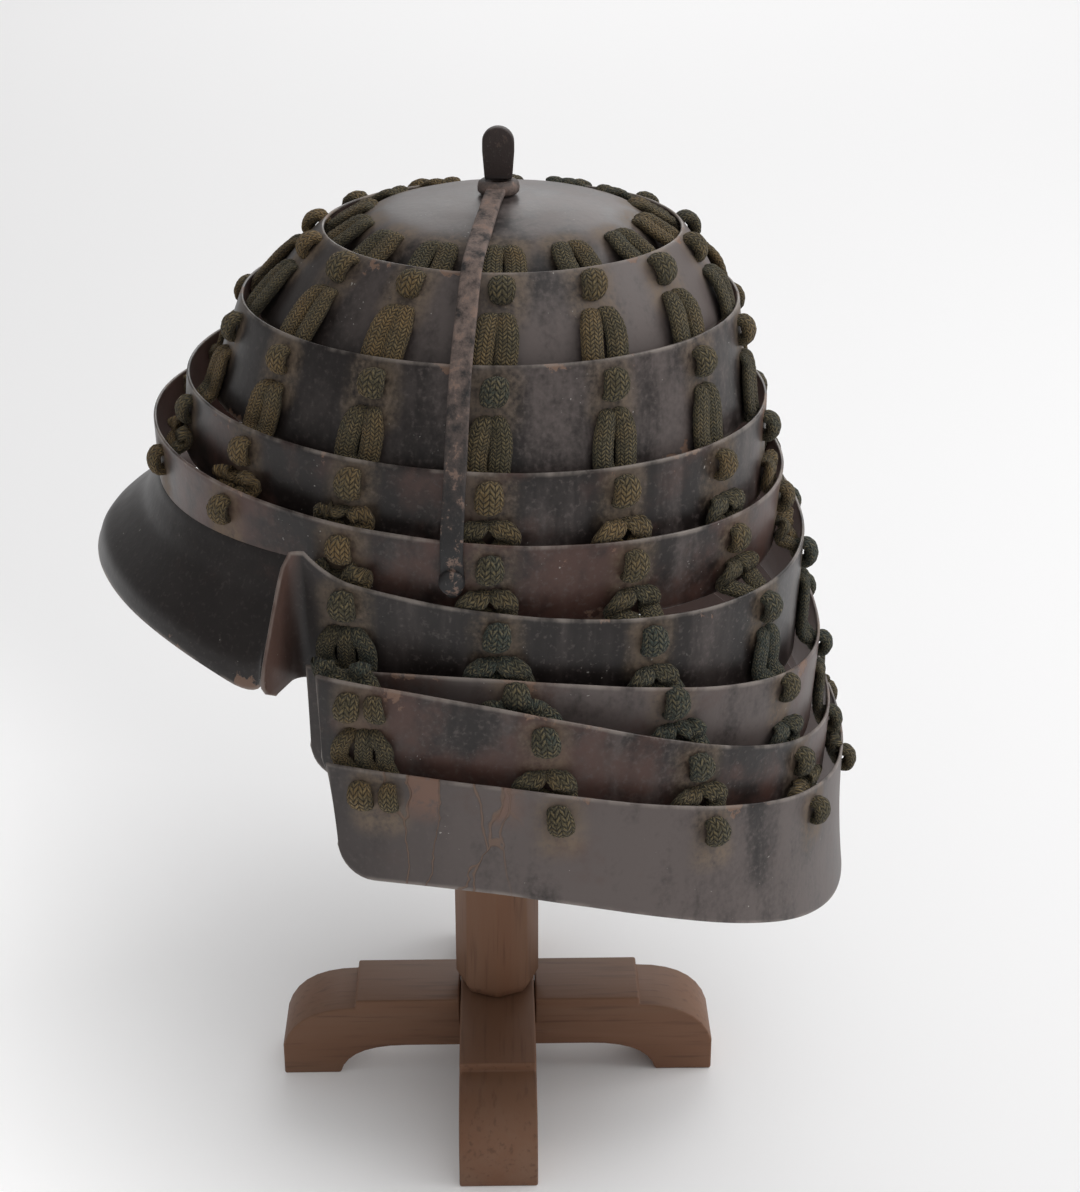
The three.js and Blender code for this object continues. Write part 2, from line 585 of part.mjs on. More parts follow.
addPiece("stand_beam_front", beamGeometry(LAP - SEAT, BEAM.top + SEAT).rotateZ(Math.PI / 2), WOOD);

// The origin is the middle of the whole object, on the surface that it stands on
const box = new THREE.Box3().setFromObject(helmet);
const middle = box.getCenter(new THREE.Vector3());
helmet.position.set(-middle.x, -middle.y, -box.min.z);
helmet.updateMatrixWorld(true);

export default helmet;
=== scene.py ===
"""Dresses a folding helmet of laced iron plates, its latch and its wooden stand."""

import math
from typing import NamedTuple, Optional

import bmesh
import bpy
import numpy as np
from mathutils import Matrix, Vector


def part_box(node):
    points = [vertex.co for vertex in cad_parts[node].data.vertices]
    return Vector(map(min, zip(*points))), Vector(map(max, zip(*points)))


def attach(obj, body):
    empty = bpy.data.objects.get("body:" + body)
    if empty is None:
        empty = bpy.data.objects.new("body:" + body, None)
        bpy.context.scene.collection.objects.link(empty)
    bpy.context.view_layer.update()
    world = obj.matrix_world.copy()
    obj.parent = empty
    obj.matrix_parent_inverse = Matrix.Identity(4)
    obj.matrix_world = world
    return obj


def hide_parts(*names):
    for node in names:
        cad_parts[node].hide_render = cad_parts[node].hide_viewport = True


bl_info = {
    "name": "Folding Helmet",
    "version": (1, 0, 0),
    "blender": (4, 5, 0),
    "location": "View3D > Sidebar > Helmet",
    "description": "Builds a laced folding helmet on its stand around a fixed frame",
    "category": "Object",
}

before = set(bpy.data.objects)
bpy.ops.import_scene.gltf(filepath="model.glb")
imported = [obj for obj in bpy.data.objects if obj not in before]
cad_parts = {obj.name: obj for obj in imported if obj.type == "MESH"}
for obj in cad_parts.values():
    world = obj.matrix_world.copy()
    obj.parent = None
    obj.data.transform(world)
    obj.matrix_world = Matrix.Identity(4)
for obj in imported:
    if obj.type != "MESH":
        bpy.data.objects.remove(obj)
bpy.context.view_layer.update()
MM = 0.001
BODY = "root"
SEED = 7

# Every shape is measured in millimetres from the foot of the post's axis
POST_LOW, POST_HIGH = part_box("stand_post")
AXIS = np.array([(POST_LOW.x + POST_HIGH.x) / 2, (POST_LOW.y + POST_HIGH.y) / 2, 0.0])


class Edge(NamedTuple):
    """An oval edge: its reach from the axis, and its height at the back, the sides and the front."""

    back: float
    front: float
    half: float
    z_back: float
    z_side: float
    z_front: float


class Plate(NamedTuple):
    """A wall between two edges. Its knots sit at hole below the top edge; an open lame stops at end degrees."""

    name: str
    square: float
    bulge: float
    hole: float
    spread: float
    top: Edge
    bottom: Edge
    end: Optional[float] = None


BOWL_RINGS = (
    Plate("bowl_ring_1", 2.0, 2.2, 7, 1, Edge(67.4, 58.4, 59.8, 352.9, 353.2, 353.5),
          Edge(83.4, 82.4, 78.8, 323.5, 324, 324.5)),
    Plate("bowl_ring_2", 2.0, 0, 8.7, 0.988, Edge(88.5, 88.1, 83.9, 327.8, 329.1, 330.4),
          Edge(92.8, 100.5, 92.6, 287.5, 293, 298)),
    Plate("bowl_ring_3", 2.0, 0, 8.4, 0.976, Edge(99.5, 108.9, 99, 292.6, 298, 303.4),
          Edge(99.5, 111.5, 101, 259.5, 268.5, 277.5)),
    Plate("bowl_ring_4", 2.0, 0, 8.8, 0.963, Edge(106.7, 121.7, 108.5, 266.5, 277.2, 287.9),
          Edge(104.5, 121, 106, 239.5, 247.5, 258)),
)
NECK_LAMES = (
    Plate("neck_lame_1", 2.3, 0, 8.4, 0.97, Edge(114.3, 123.6, 113.5, 244.8, 255.4, 284),
          Edge(113, 121.5, 111, 199, 223, 222), 117.5),
    Plate("neck_lame_2", 2.3, 0, 5.5, 0.95, Edge(122.2, 127, 118.6, 204.9, 233.4, 225),
          Edge(120, 125.5, 117, 170, 190, 188), 117.5),
    Plate("neck_lame_3", 2.3, 0, 9, 0.9, Edge(127.1, 135.3, 127.6, 176.5, 228.6, 234.2),
          Edge(126, 133, 126, 153, 190, 186), 113.5),
    Plate("neck_lame_4", 2.3, -1.2, 9, 0.89, Edge(133, 138.7, 133.7, 160.6, 201.8, 203.6),
          Edge(135.2, 134.7, 136.8, 105.9, 162.6, 149.5), 112),
)
CRACKED_LAME = "neck_lame_4"
LAME_CORNER = 11
FLAP_BEND = 5.5
FLAP_TURN = math.radians(90)
FLAP_COLUMNS = 17
FLAP_RISE = 0.16  # how far the upper corner stands above the edge, as a share of the height
FLAP_RISE_RUN = 16  # where that rise starts, before the turn
FLAP_WIDTHS = ((0, 3.5), (0.3, 15), (0.6, 23.5), (0.85, 27), (1, 18))  # share of the height, width of the turned end
CAP_PROFILE = ((3.4, 363.2), (16, 362.6), (28, 361.1), (44, 357.7), (52, 352.8), (57.5, 344))  # radius, height
CAP_BACK_SHIFT = 4.6
CAP_WIDTH_SHARE = 0.942
VISOR_TOP = 265.5
VISOR_ANGLE = 58.6
VISOR_OUT = (23, 19)  # at the front and at the ends
VISOR_DROP = (29, 44)
VISOR_DROP_CURVE = 3
VISOR_CORNER = 6  # degrees
VISOR_LIFT = 7
VISOR_SINK = 0.25  # the upper edge lies nearly flush with the ring
VISOR_BLEND = 3.5
VISOR_CLEAR = 0.35  # from the ring, below the upper edge
VISOR_PROFILE = ((0, 0), (0.22, 0.34), (0.56, 0.57), (0.87, 0.76), (1, 1))  # shares of reach and drop
COLUMNS = 14
NECK_COLUMNS_PER_SIDE = 5
END_MARGIN = 6.3
TAB_Y = 3
BAR_SLANT = 0.147
BAR_PATH = ((5, 365.9), (20, 364.4), (46, 359.4), (60.8, 354.9), (73, 343.8), (85.4, 330.2), (93.8, 315.2),
            (100.7, 298.7), (110.2, 277.4), (109.4, 266), (108.9, 258.8))  # distance from the axis, height
RIVET_Z = 264.7
RIVET_X = 111.2


class Value:
    """A socket of a node tree. Arithmetic on it adds Math nodes."""

    def __init__(self, graph, socket):
        self.graph = graph
        self.socket = socket

    def _math(self, operation, *values):
        return self.graph.add("ShaderNodeMath", {"operation": operation}, dict(enumerate(values)))

    def __add__(self, other):
        return self._math("ADD", self, other)

    def __sub__(self, other):
        return self._math("SUBTRACT", self, other)

    def __rsub__(self, other):
        return self._math("SUBTRACT", other, self)

    def __mul__(self, other):
        return self._math("MULTIPLY", self, other)

    def __truediv__(self, other):
        return self._math("DIVIDE", self, other)

    def __pow__(self, other):
        return self._math("POWER", self, other)

    def __abs__(self):
        return self._math("ABSOLUTE", self)

    __radd__ = __add__
    __rmul__ = __mul__

    def sine(self):
        return self._math("SINE", self)

    def part(self):
        return self._math("FRACT", self)

    def least(self, other):
        return self._math("MINIMUM", self, other)


class Graph:
    """Adds nodes to a tree, and links or sets their sockets."""

    def __init__(self, tree):
        self.tree = tree

    def add(self, kind, settings=None, inputs=None, output=0):
        node = self.tree.nodes.new(kind)
        for name, setting in (settings or {}).items():
            setattr(node, name, setting)
        for key, value in (inputs or {}).items():
            if isinstance(value, Value):
                self.tree.links.new(value.socket, node.inputs[key])
            else:
                node.inputs[key].default_value = value
        return Value(self, node.outputs[output])


class Finish(Graph):
    """A material on one Principled shader, with the patterns that the finishes share."""

    def __init__(self, name, **constants):
        material = bpy.data.materials.new(name)
        material.use_nodes = True
        super().__init__(material.node_tree)
        self.material = material
        self.shader = next(n for n in self.tree.nodes if n.type == "BSDF_PRINCIPLED")
        for socket, value in constants.items():
            self.shader.inputs[socket.replace("_", " ")].default_value = value
        self.place = self.add("ShaderNodeTexCoord", output="Object")

    def noise(self, per_metre, detail=4.0, roughness=0.55, stretch=(1, 1, 1), at=(0, 0, 0)):
        where = self.add("ShaderNodeMapping", {}, {"Vector": self.place, "Location": at, "Scale": stretch})
        settings = {"Vector": where, "Scale": per_metre, "Detail": detail, "Roughness": roughness}
        return self.add("ShaderNodeTexNoise", {}, settings)

    def along(self, axis):
        return self.add("ShaderNodeSeparateXYZ", {}, {"Vector": self.place}, output=axis)

    def attribute(self, name):
        return self.add("ShaderNodeAttribute", {"attribute_name": name}, output="Fac")

    def rise(self, value, low, high):
        """0 below low, 1 above high and smooth between; a low above high falls instead."""
        settings = {"interpolation_type": "SMOOTHSTEP"}
        falls = low > high
        limits = {"Value": value, "From Min": min(low, high), "From Max": max(low, high)}
        limits.update({"To Min": 1.0 if falls else 0.0, "To Max": 0.0 if falls else 1.0})
        return self.add("ShaderNodeMapRange", settings, limits)

    def mix(self, factor, first, second):
        colours = {0: factor, 6: rgba(first), 7: rgba(second)}
        return self.add("ShaderNodeMix", {"data_type": "RGBA"}, colours, output=2)

    def bump(self, height, distance, strength):
        return self.add("ShaderNodeBump", {}, {"Height": height, "Distance": distance, "Strength": strength})

    def feed(self, **sockets):
        for socket, value in sockets.items():
            self.tree.links.new(value.socket, self.shader.inputs[socket.replace("_", " ")])
        return self.material


def rgba(colour):
    return colour if isinstance(colour, Value) else (*tuple(colour)[:3], 1.0)


# Settings that a user would change

def length(name, description, default):
    return bpy.props.FloatProperty(name=name, description=description, default=default, min=0, unit="LENGTH")


def colour(name, description, default):
    return bpy.props.FloatVectorProperty(
        name=name, description=description, default=default, size=3, min=0, max=1, subtype="COLOR")


class PlateSettings(bpy.types.PropertyGroup):
    """Sizes and colours of the iron plates"""

    thickness: length("Thickness", "Thickness of every plate", 1.15 * MM)
    dent: length("Dents", "Depth of the hammered unevenness", 0.35 * MM)
    facet: length("Mesh step", "Spacing of the plates' mesh", 2.2 * MM)
    lacquer: colour("Lacquer", "Black lacquer", (0.0115, 0.0086, 0.008))
    worn: colour("Worn lacquer", "Lacquer rubbed grey", (0.098, 0.08, 0.075))
    russet: colour("Russet", "Brown lacquer that shows through", (0.072, 0.036, 0.028))
    dust: colour("Dust", "Dust round the cords", (0.2, 0.15, 0.105))
    chip: colour("Chips", "Ground where lacquer is lost", (0.19, 0.115, 0.08))
    bare: colour("Bare edge", "Rubbed edges", (0.26, 0.225, 0.2))


class LacingSettings(bpy.types.PropertyGroup):
    """Sizes and colours of the braided cords"""

    width: length("Cord width", "Width of one flat braid", 7.9 * MM)
    knot: length("Knot width", "Width of the knot on each plate", 10.0 * MM)
    stitch: length("Stitch", "Length of one stitch of the braid", 2.7 * MM)
    depth: length("Stitch depth", "Depth of the grooves between stitches", 0.26 * MM)
    step: length("Mesh step", "Spacing of the cords' mesh", 0.6 * MM)
    olive: colour("Olive", "Faded olive cord", (0.062, 0.053, 0.03))
    ochre: colour("Ochre", "Sun-faded cord", (0.15, 0.096, 0.04))
    teal: colour("Teal", "Cord that kept its dye", (0.034, 0.045, 0.038))


class LatchSettings(bpy.types.PropertyGroup):
    """Sizes and colours of the bar, its tab and its rivet"""

    width: length("Bar width", "Width of the bar", 7.3 * MM)
    thickness: length("Bar thickness", "Thickness of the bar", 2.2 * MM)
    iron: colour("Iron", "Dark iron", (0.0135, 0.0125, 0.013))
    rust: colour("Rust", "Dusty rust", (0.15, 0.11, 0.094))


class StandSettings(bpy.types.PropertyGroup):
    """Sizes and colours of the wooden stand"""

    round: length("Edge round", "Rounding of the wood's edges", 0.9 * MM)
    heart: colour("Heartwood", "Red-brown wood", (0.165, 0.078, 0.042))
    pale: colour("Worn wood", "Greyed and rubbed wood", (0.19, 0.115, 0.075))
    pore: colour("Pores", "Dark pores of the grain", (0.05, 0.023, 0.014))


class StageSettings(bpy.types.PropertyGroup):
    """The floor, the lights and the camera"""

    floor: colour("Floor", "Pale floor", (0.86, 0.86, 0.865))
    lens: bpy.props.FloatProperty(name="Lens", description="Focal length", default=68.2, unit="CAMERA")


def settings(context):
    return context.scene.folding_helmet


class HelmetSettings(bpy.types.PropertyGroup):
    """Everything that can be changed"""

    plates: bpy.props.PointerProperty(type=PlateSettings)
    lacing: bpy.props.PointerProperty(type=LacingSettings)
    latch: bpy.props.PointerProperty(type=LatchSettings)
    stand: bpy.props.PointerProperty(type=StandSettings)
    stage: bpy.props.PointerProperty(type=StageSettings)


# Shapes in numbers

def unit(vectors):
    return vectors / np.maximum(np.linalg.norm(vectors, axis=-1, keepdims=True), 1e-12)


def in_frame(points):
    """Millimetres from the axis, as metres in the frame."""
    return points * MM + AXIS


def through(points, count):
    """A smooth curve through points, as evenly spaced points."""
    points = np.asarray(points, float)
    padded = np.vstack([2 * points[0] - points[1], points, 2 * points[-1] - points[-2]])
    share = np.linspace(0, 1, 24, endpoint=False)[:, None]
    stretches = []
    for a, b, c, d in zip(padded, padded[1:], padded[2:], padded[3:]):
        stretches.append(0.5 * (2 * b + (c - a) * share + (2 * a - 5 * b + 4 * c - d) * share ** 2
                                + (3 * b - a - 3 * c + d) * share ** 3))
    fine = np.vstack([*stretches, points[-1:]])
    gone = np.concatenate([[0], np.cumsum(np.linalg.norm(np.diff(fine, axis=0), axis=1))])
    even = np.linspace(0, gone[-1], count)
    return np.stack([np.interp(even, gone, fine[:, k]) for k in range(points.shape[1])], axis=1)


def edge_points(edge, square, angles):
    along, across = np.cos(angles), np.sin(angles)
    grow = (np.abs(along) ** square + np.abs(across) ** square) ** (-1 / square)
    ahead = -along * grow
    centre, reach = (edge.front - edge.back) / 2, (edge.front + edge.back) / 2
    tilt, sag = (edge.z_front - edge.z_back) / 2, (edge.z_front + edge.z_back) / 2 - edge.z_side
    height = edge.z_side + tilt * ahead + sag * ahead ** 2
    return np.stack([edge.half * across * grow, -(centre + reach * ahead), height], axis=-1)


def level_normals(edge, square, angles):
    step = 1e-3
    way = edge_points(edge, square, angles + step) - edge_points(edge, square, angles - step)
    return unit(np.stack([-way[..., 1], way[..., 0], np.zeros_like(angles)], axis=-1))


def wall_points(plate, angles, shares):
    """Points of a plate's outside, for angles and shares of its height that fit each other's shape."""
    angles, shares = np.broadcast_arrays(np.asarray(angles, float), np.asarray(shares, float))
    top = edge_points(plate.top, plate.square, angles)
    bottom = edge_points(plate.bottom, plate.square, angles)
    swell = (plate.bulge * 4 * shares * (1 - shares))[..., None]
    return top + (bottom - top) * shares[..., None] + level_normals(plate.top, plate.square, angles) * swell


def unevenness(points):
    """A smooth random-looking field from -1 to 1 over points in millimetres."""
    draw = np.random.default_rng(SEED)
    total = np.zeros(points.shape[:-1])
    for wave in (95, 61, 43, 29):
        way = unit(draw.normal(size=3))
        total += np.sin(points @ way * 2 * math.pi / wave + draw.uniform(0, 6.3))
    return total / 4


# Meshes

def new_piece(name, mesh, material, slot, *nodes):
    piece = bpy.data.objects.new(name, mesh)
    bpy.context.scene.collection.objects.link(piece)
    mesh.materials.clear()
    mesh.materials.append(material)
    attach(piece, BODY)
    if nodes:
        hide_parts(*nodes)
    return piece


def mesh_of(name, points, faces, fields=None):
    mesh = bpy.data.meshes.new(name)
    mesh.from_pydata(points.tolist(), [], [list(face) for face in faces])
    for field, values in (fields or {}).items():
        attribute = mesh.attributes.new(field, "FLOAT", "POINT")
        attribute.data.foreach_set("value", np.asarray(values, np.float32))
    mesh.polygons.foreach_set("use_smooth", [True] * len(mesh.polygons))
    mesh.update()
    return mesh


def grid_faces(rows, columns, closed, start, flip):
    faces = []
    for i in range(rows - 1):
        for j in range(columns if closed else columns - 1):
            a, b = start + i * columns + j, start + i * columns + (j + 1) % columns
            face = (a, b, b + columns, a + columns)
            faces.append(face[::-1] if flip else face)
    return faces


RIM_STEPS = 5


def plate_mesh(name, outer, closed, thick, fields):
    """A plate of even thickness with round edges, behind a grid of outer points in metres, rows from the top."""
    rows, columns = outer.shape[:2]
    if closed:
        across = np.roll(outer, -1, axis=1) - np.roll(outer, 1, axis=1)
    else:
        across = np.gradient(outer, axis=1)
    down = np.gradient(outer, axis=0)
    across, down = unit(across), unit(down)
    normal = unit(np.cross(across, down))
    inner = outer - normal * thick
    index = np.arange(rows * columns).reshape(rows, columns)
    if closed:
        loops = [(index[0], -down[0]), (index[-1][::-1], down[-1][::-1])]
    else:
        border = np.concatenate([index[0], index[1:, -1], index[-1][-2::-1], index[-2:0:-1, 0]])
        away = np.zeros_like(outer)
        away[0] -= down[0]
        away[-1] += down[-1]
        away[:, 0] -= across[:, 0]
        away[:, -1] += across[:, -1]
        loops = [(border, unit(away).reshape(-1, 3)[border])]
    count = rows * columns
    points = [outer.reshape(-1, 3), inner.reshape(-1, 3)]
    owners = [index.ravel(), index.ravel()]
    faces = grid_faces(rows, columns, closed, 0, False) + grid_faces(rows, columns, closed, count, True)
    start = 2 * count
    for loop, away in loops:
        level = [loop]
        middle = points[0][loop] - normal.reshape(-1, 3)[loop] * thick / 2
        for step in range(1, RIM_STEPS):
            turn = math.pi * step / RIM_STEPS
            lean = normal.reshape(-1, 3)[loop] * math.cos(turn) + away * math.sin(turn)
            points.append(middle + lean * thick / 2)
            owners.append(loop)
            level.append(start + np.arange(len(loop)))
            start += len(loop)
        level.append(count + loop)
        for one, two in zip(level, level[1:]):
            for k in range(len(loop)):
                n = (k + 1) % len(loop)
                faces.append((one[k], two[k], two[n], one[n]))
    owners = np.concatenate(owners)
    values = {field: np.asarray(given).ravel()[owners] for field, given in fields.items()}
    inside = np.zeros(len(owners))
    inside[count:2 * count] = 1
    values["inside"] = inside
    return mesh_of(name, np.vstack(points), faces, values)


def dressed_plate(props, name, outer, closed, finish, laces=None, flush=False, turned=None):
    """Adds dents and the fields that the lacquer reads, and makes the plate's piece."""
    across = np.roll(outer, -1, axis=1) - outer if closed else np.gradient(outer, axis=1)
    normal = unit(np.cross(unit(across), unit(np.gradient(outer, axis=0))))
    outer = outer + normal * (unevenness(outer) * props.dent / MM)[..., None]
    lengths = np.linalg.norm(np.diff(outer, axis=0), axis=2)
    drop = np.concatenate([np.zeros((1, outer.shape[1])), np.cumsum(lengths, axis=0)])
    steps = np.linalg.norm(np.diff(outer, axis=1), axis=2)
    arc = np.concatenate([np.zeros((outer.shape[0], 1)), np.cumsum(steps, axis=1)], axis=1)
    near = np.full(outer.shape[:2], 50.0)
    for spot in laces or []:
        near = np.minimum(near, np.linalg.norm(outer - spot, axis=2))
    fields = {"drop": drop, "rise": drop[-1] - drop, "lace": near, "arc": arc[:, -1:] - arc}
    if flush:
        fields["drop"] = drop + arc[0, -1]
    elif not closed:
        fields["rise"] = np.minimum(fields["rise"], np.minimum(arc, fields["arc"]))
    if turned is not None:
        fields["turned"] = turned
    mesh = plate_mesh(name, in_frame(outer), closed, props.thickness, fields)
    return new_piece(name + "_plate", mesh, finish, "lacquered_iron", name)


# Plates

def column_angles():
    return [((k + 0.5) / COLUMNS - 0.5) * 2 * math.pi for k in range(COLUMNS)]


def has_neck(angle):
    return abs(angle) < NECK_COLUMNS_PER_SIDE * 2 * math.pi / COLUMNS


def is_outermost(angle):
    return has_neck(angle) and abs(angle) > (NECK_COLUMNS_PER_SIDE - 1) * 2 * math.pi / COLUMNS


def angle_on(plate, angle):
    if plate.end is None or not is_outermost(angle):
        return angle * plate.spread
    return math.copysign(math.radians(plate.end - END_MARGIN), angle)


class Spot:
    """The local frame where a lacing column meets a plate's top edge."""

    def __init__(self, plate, angle):
        at = angle_on(plate, angle)
        self.edge = wall_points(plate, at, 0.0)
        self.down = unit(wall_points(plate, at, 0.5) - self.edge)
        level = level_normals(plate.top, plate.square, np.asarray(at))
        self.across = np.array([-level[1], level[0], 0.0])
        out = unit(np.cross(self.down, self.across))
        self.out = out if out @ level > 0 else -out
        self.hole = plate.hole

    def place(self, depth, off, side=0.0):
        return self.edge + self.down * depth + self.out * off + self.across * side

    def meets(self, point):
        """Depth and distance of a point, in this frame."""
        return (point - self.edge) @ self.down, (point - self.edge) @ self.out


def cap_oval(radius, height):
    return Edge(radius + CAP_BACK_SHIFT, radius - CAP_BACK_SHIFT, radius * CAP_WIDTH_SHARE, height, height, height)


CAP_WALL = Plate("cap", 2.0, 0, 0, 1, cap_oval(*CAP_PROFILE[3]), cap_oval(*CAP_PROFILE[4]))


def halo_spots(plate):
    """Where cords touch a plate, for the dust round them."""
    columns = [a for a in column_angles() if plate.end is None or has_neck(a)]
    spots = [Spot(plate, a) for a in columns]
    return [s.place(s.hole + depth, 0, side) for s in spots for depth in (-3, 3, 9) for side in (-3, 3)]


def ring_grid(plate, step, thick):
    count = int(2 * math.pi * plate.bottom.half / step)
    angles = np.linspace(-math.pi, math.pi, count, endpoint=False) - math.pi / 2
    angles = (angles + math.pi) % (2 * math.pi) - math.pi
    height = plate.top.z_side - plate.bottom.z_side
    inset = thick / 2 / height
    shares = np.linspace(inset, 1 - inset, max(8, int(height / step)))
    return wall_points(plate, angles[None, :], shares[:, None])


def corner_share(plate, angles):
    corner = LAME_CORNER / plate.top.half
    into = np.clip((np.abs(angles) - math.radians(plate.end) + corner) / corner, 0, 1)
    height = np.linalg.norm(wall_points(plate, angles, 0.0) - wall_points(plate, angles, 1.0), axis=-1)
    return 1 - LAME_CORNER / height * (1 - np.sqrt(1 - into ** 2))


def lame_angles(plate, step):
    """Even steps, closer together round the lower corners."""
    end, corner = math.radians(plate.end), LAME_CORNER / plate.top.half
    turns = end - corner * (1 - np.sin(np.linspace(0, math.pi / 2, 9)))
    flat = np.linspace(-turns[0], turns[0], int(2 * turns[0] * plate.top.half / step))
    return np.concatenate([-turns[:0:-1], flat, turns[1:]])


def lame_grid(plate, step, thick):
    angles = lame_angles(plate, step)
    height = plate.top.z_back - plate.bottom.z_back
    inset = thick / 2 / height
    shares = np.linspace(inset, 1 - inset, int(height / step))
    return wall_points(plate, angles[None, :], shares[:, None] * corner_share(plate, angles)[None, :])


def raised(shares, nearness):
    """Shares of the height, with the upper ones lifted near a turned end."""
    return shares - FLAP_RISE * nearness * np.clip(1 - 2 * shares, 0, 1) ** 1.5


def flap_points(plate, side, shares, steps):
    """The end of a lame, turned outwards along an arc and then straight."""
    angle = np.asarray(side * math.radians(plate.end))
    normal = level_normals(plate.top, plate.square, angle)
    forward = np.array([-normal[1], normal[0], 0]) * -side
    table = through(FLAP_WIDTHS, 60)
    run = np.interp(shares, table[:, 0], table[:, 1])[:, None] * steps[None, :]
    turn = np.minimum(FLAP_TURN, run / FLAP_BEND)
    rest = run - turn * FLAP_BEND
    ahead = FLAP_BEND * np.sin(turn) + rest * np.cos(turn)
    out = FLAP_BEND * (1 - np.cos(turn)) + rest * np.sin(turn)
    foot = wall_points(plate, angle, raised(shares, 1))[:, None, :]
    return foot + forward * ahead[..., None] + normal * out[..., None]


def flapped_grid(plate, step, thick):
    end = math.radians(plate.end)
    angles = np.linspace(-end, end, int(2 * end * plate.top.half / step))
    height = plate.top.z_side - plate.bottom.z_side
    inset = thick / 2 / height
    shares = np.linspace(inset, 1 - inset, int(height / step))
    steps = np.linspace(0, 1, FLAP_COLUMNS + 1)[1:]
    near = np.clip(1 - (end - np.abs(angles)) * plate.top.half / FLAP_RISE_RUN, 0, 1) ** 2
    middle = wall_points(plate, angles[None, :], raised(shares[:, None], near[None, :]))
    left = flap_points(plate, -1, shares, steps)[:, ::-1]
    return np.concatenate([left, middle, flap_points(plate, 1, shares, steps)], axis=1)


def cap_grid(step):
    profile = through(CAP_PROFILE, int(70 / step))
    count = int(2 * math.pi * CAP_PROFILE[-1][0] / step)
    angles = np.linspace(0, 2 * math.pi, count, endpoint=False)[None, :]
    radius, height = profile[:, :1], profile[:, 1:]
    shift = np.interp(radius, (CAP_PROFILE[0][0], CAP_PROFILE[2][0]), (TAB_Y, CAP_BACK_SHIFT))
    x = radius * CAP_WIDTH_SHARE * np.sin(angles)
    y = shift + radius * np.cos(angles)
    return np.stack([x, y, np.broadcast_to(height, x.shape)], axis=-1)


def visor_grid(step, thick):
    ring = BOWL_RINGS[-1]
    end = math.radians(VISOR_ANGLE)
    corner = math.radians(VISOR_CORNER)
    turns = end - corner * (1 - np.sin(np.linspace(0, math.pi / 2, 8)))
    flat = np.linspace(-turns[0], turns[0], int(2 * turns[0] * ring.top.front / step))
    bearing = np.concatenate([-turns[:0:-1], flat, turns[1:]])
    angles = np.where(bearing < 0, bearing + math.pi, bearing - math.pi)
    ends = np.abs(bearing) / end
    profile = through(VISOR_PROFILE, int(46 / step))
    out, down = profile[:, :1], profile[:, 1:]
    drop = VISOR_DROP[0] + (VISOR_DROP[1] - VISOR_DROP[0]) * ends ** VISOR_DROP_CURVE
    reach = VISOR_OUT[0] + (VISOR_OUT[1] - VISOR_OUT[0]) * ends
    into = np.clip((np.abs(bearing) - end + corner) / corner, 0, 1)
    lift = VISOR_LIFT * (1 - np.sqrt(1 - into ** 2)) * down
    top, bottom = wall_points(ring, angles, 0.0), wall_points(ring, angles, 1.0)
    share = (top[:, 2] - VISOR_TOP) / (top[:, 2] - bottom[:, 2])
    seat = wall_points(ring, angles, share)[None]
    normal = level_normals(ring.top, ring.square, angles)[None]
    clear = np.clip(VISOR_BLEND * down, 0, 1)
    lap = VISOR_SINK + (VISOR_CLEAR + thick - VISOR_SINK) * clear ** 2 * (3 - 2 * clear)
    points = seat + normal * (lap + reach * out)[..., None]
    points[..., 2] = VISOR_TOP - drop * down + lift
    return points


# Finishes

TURNED_END = (0.1, 0.058, 0.046)
SPECK = (0.42, 0.4, 0.37)


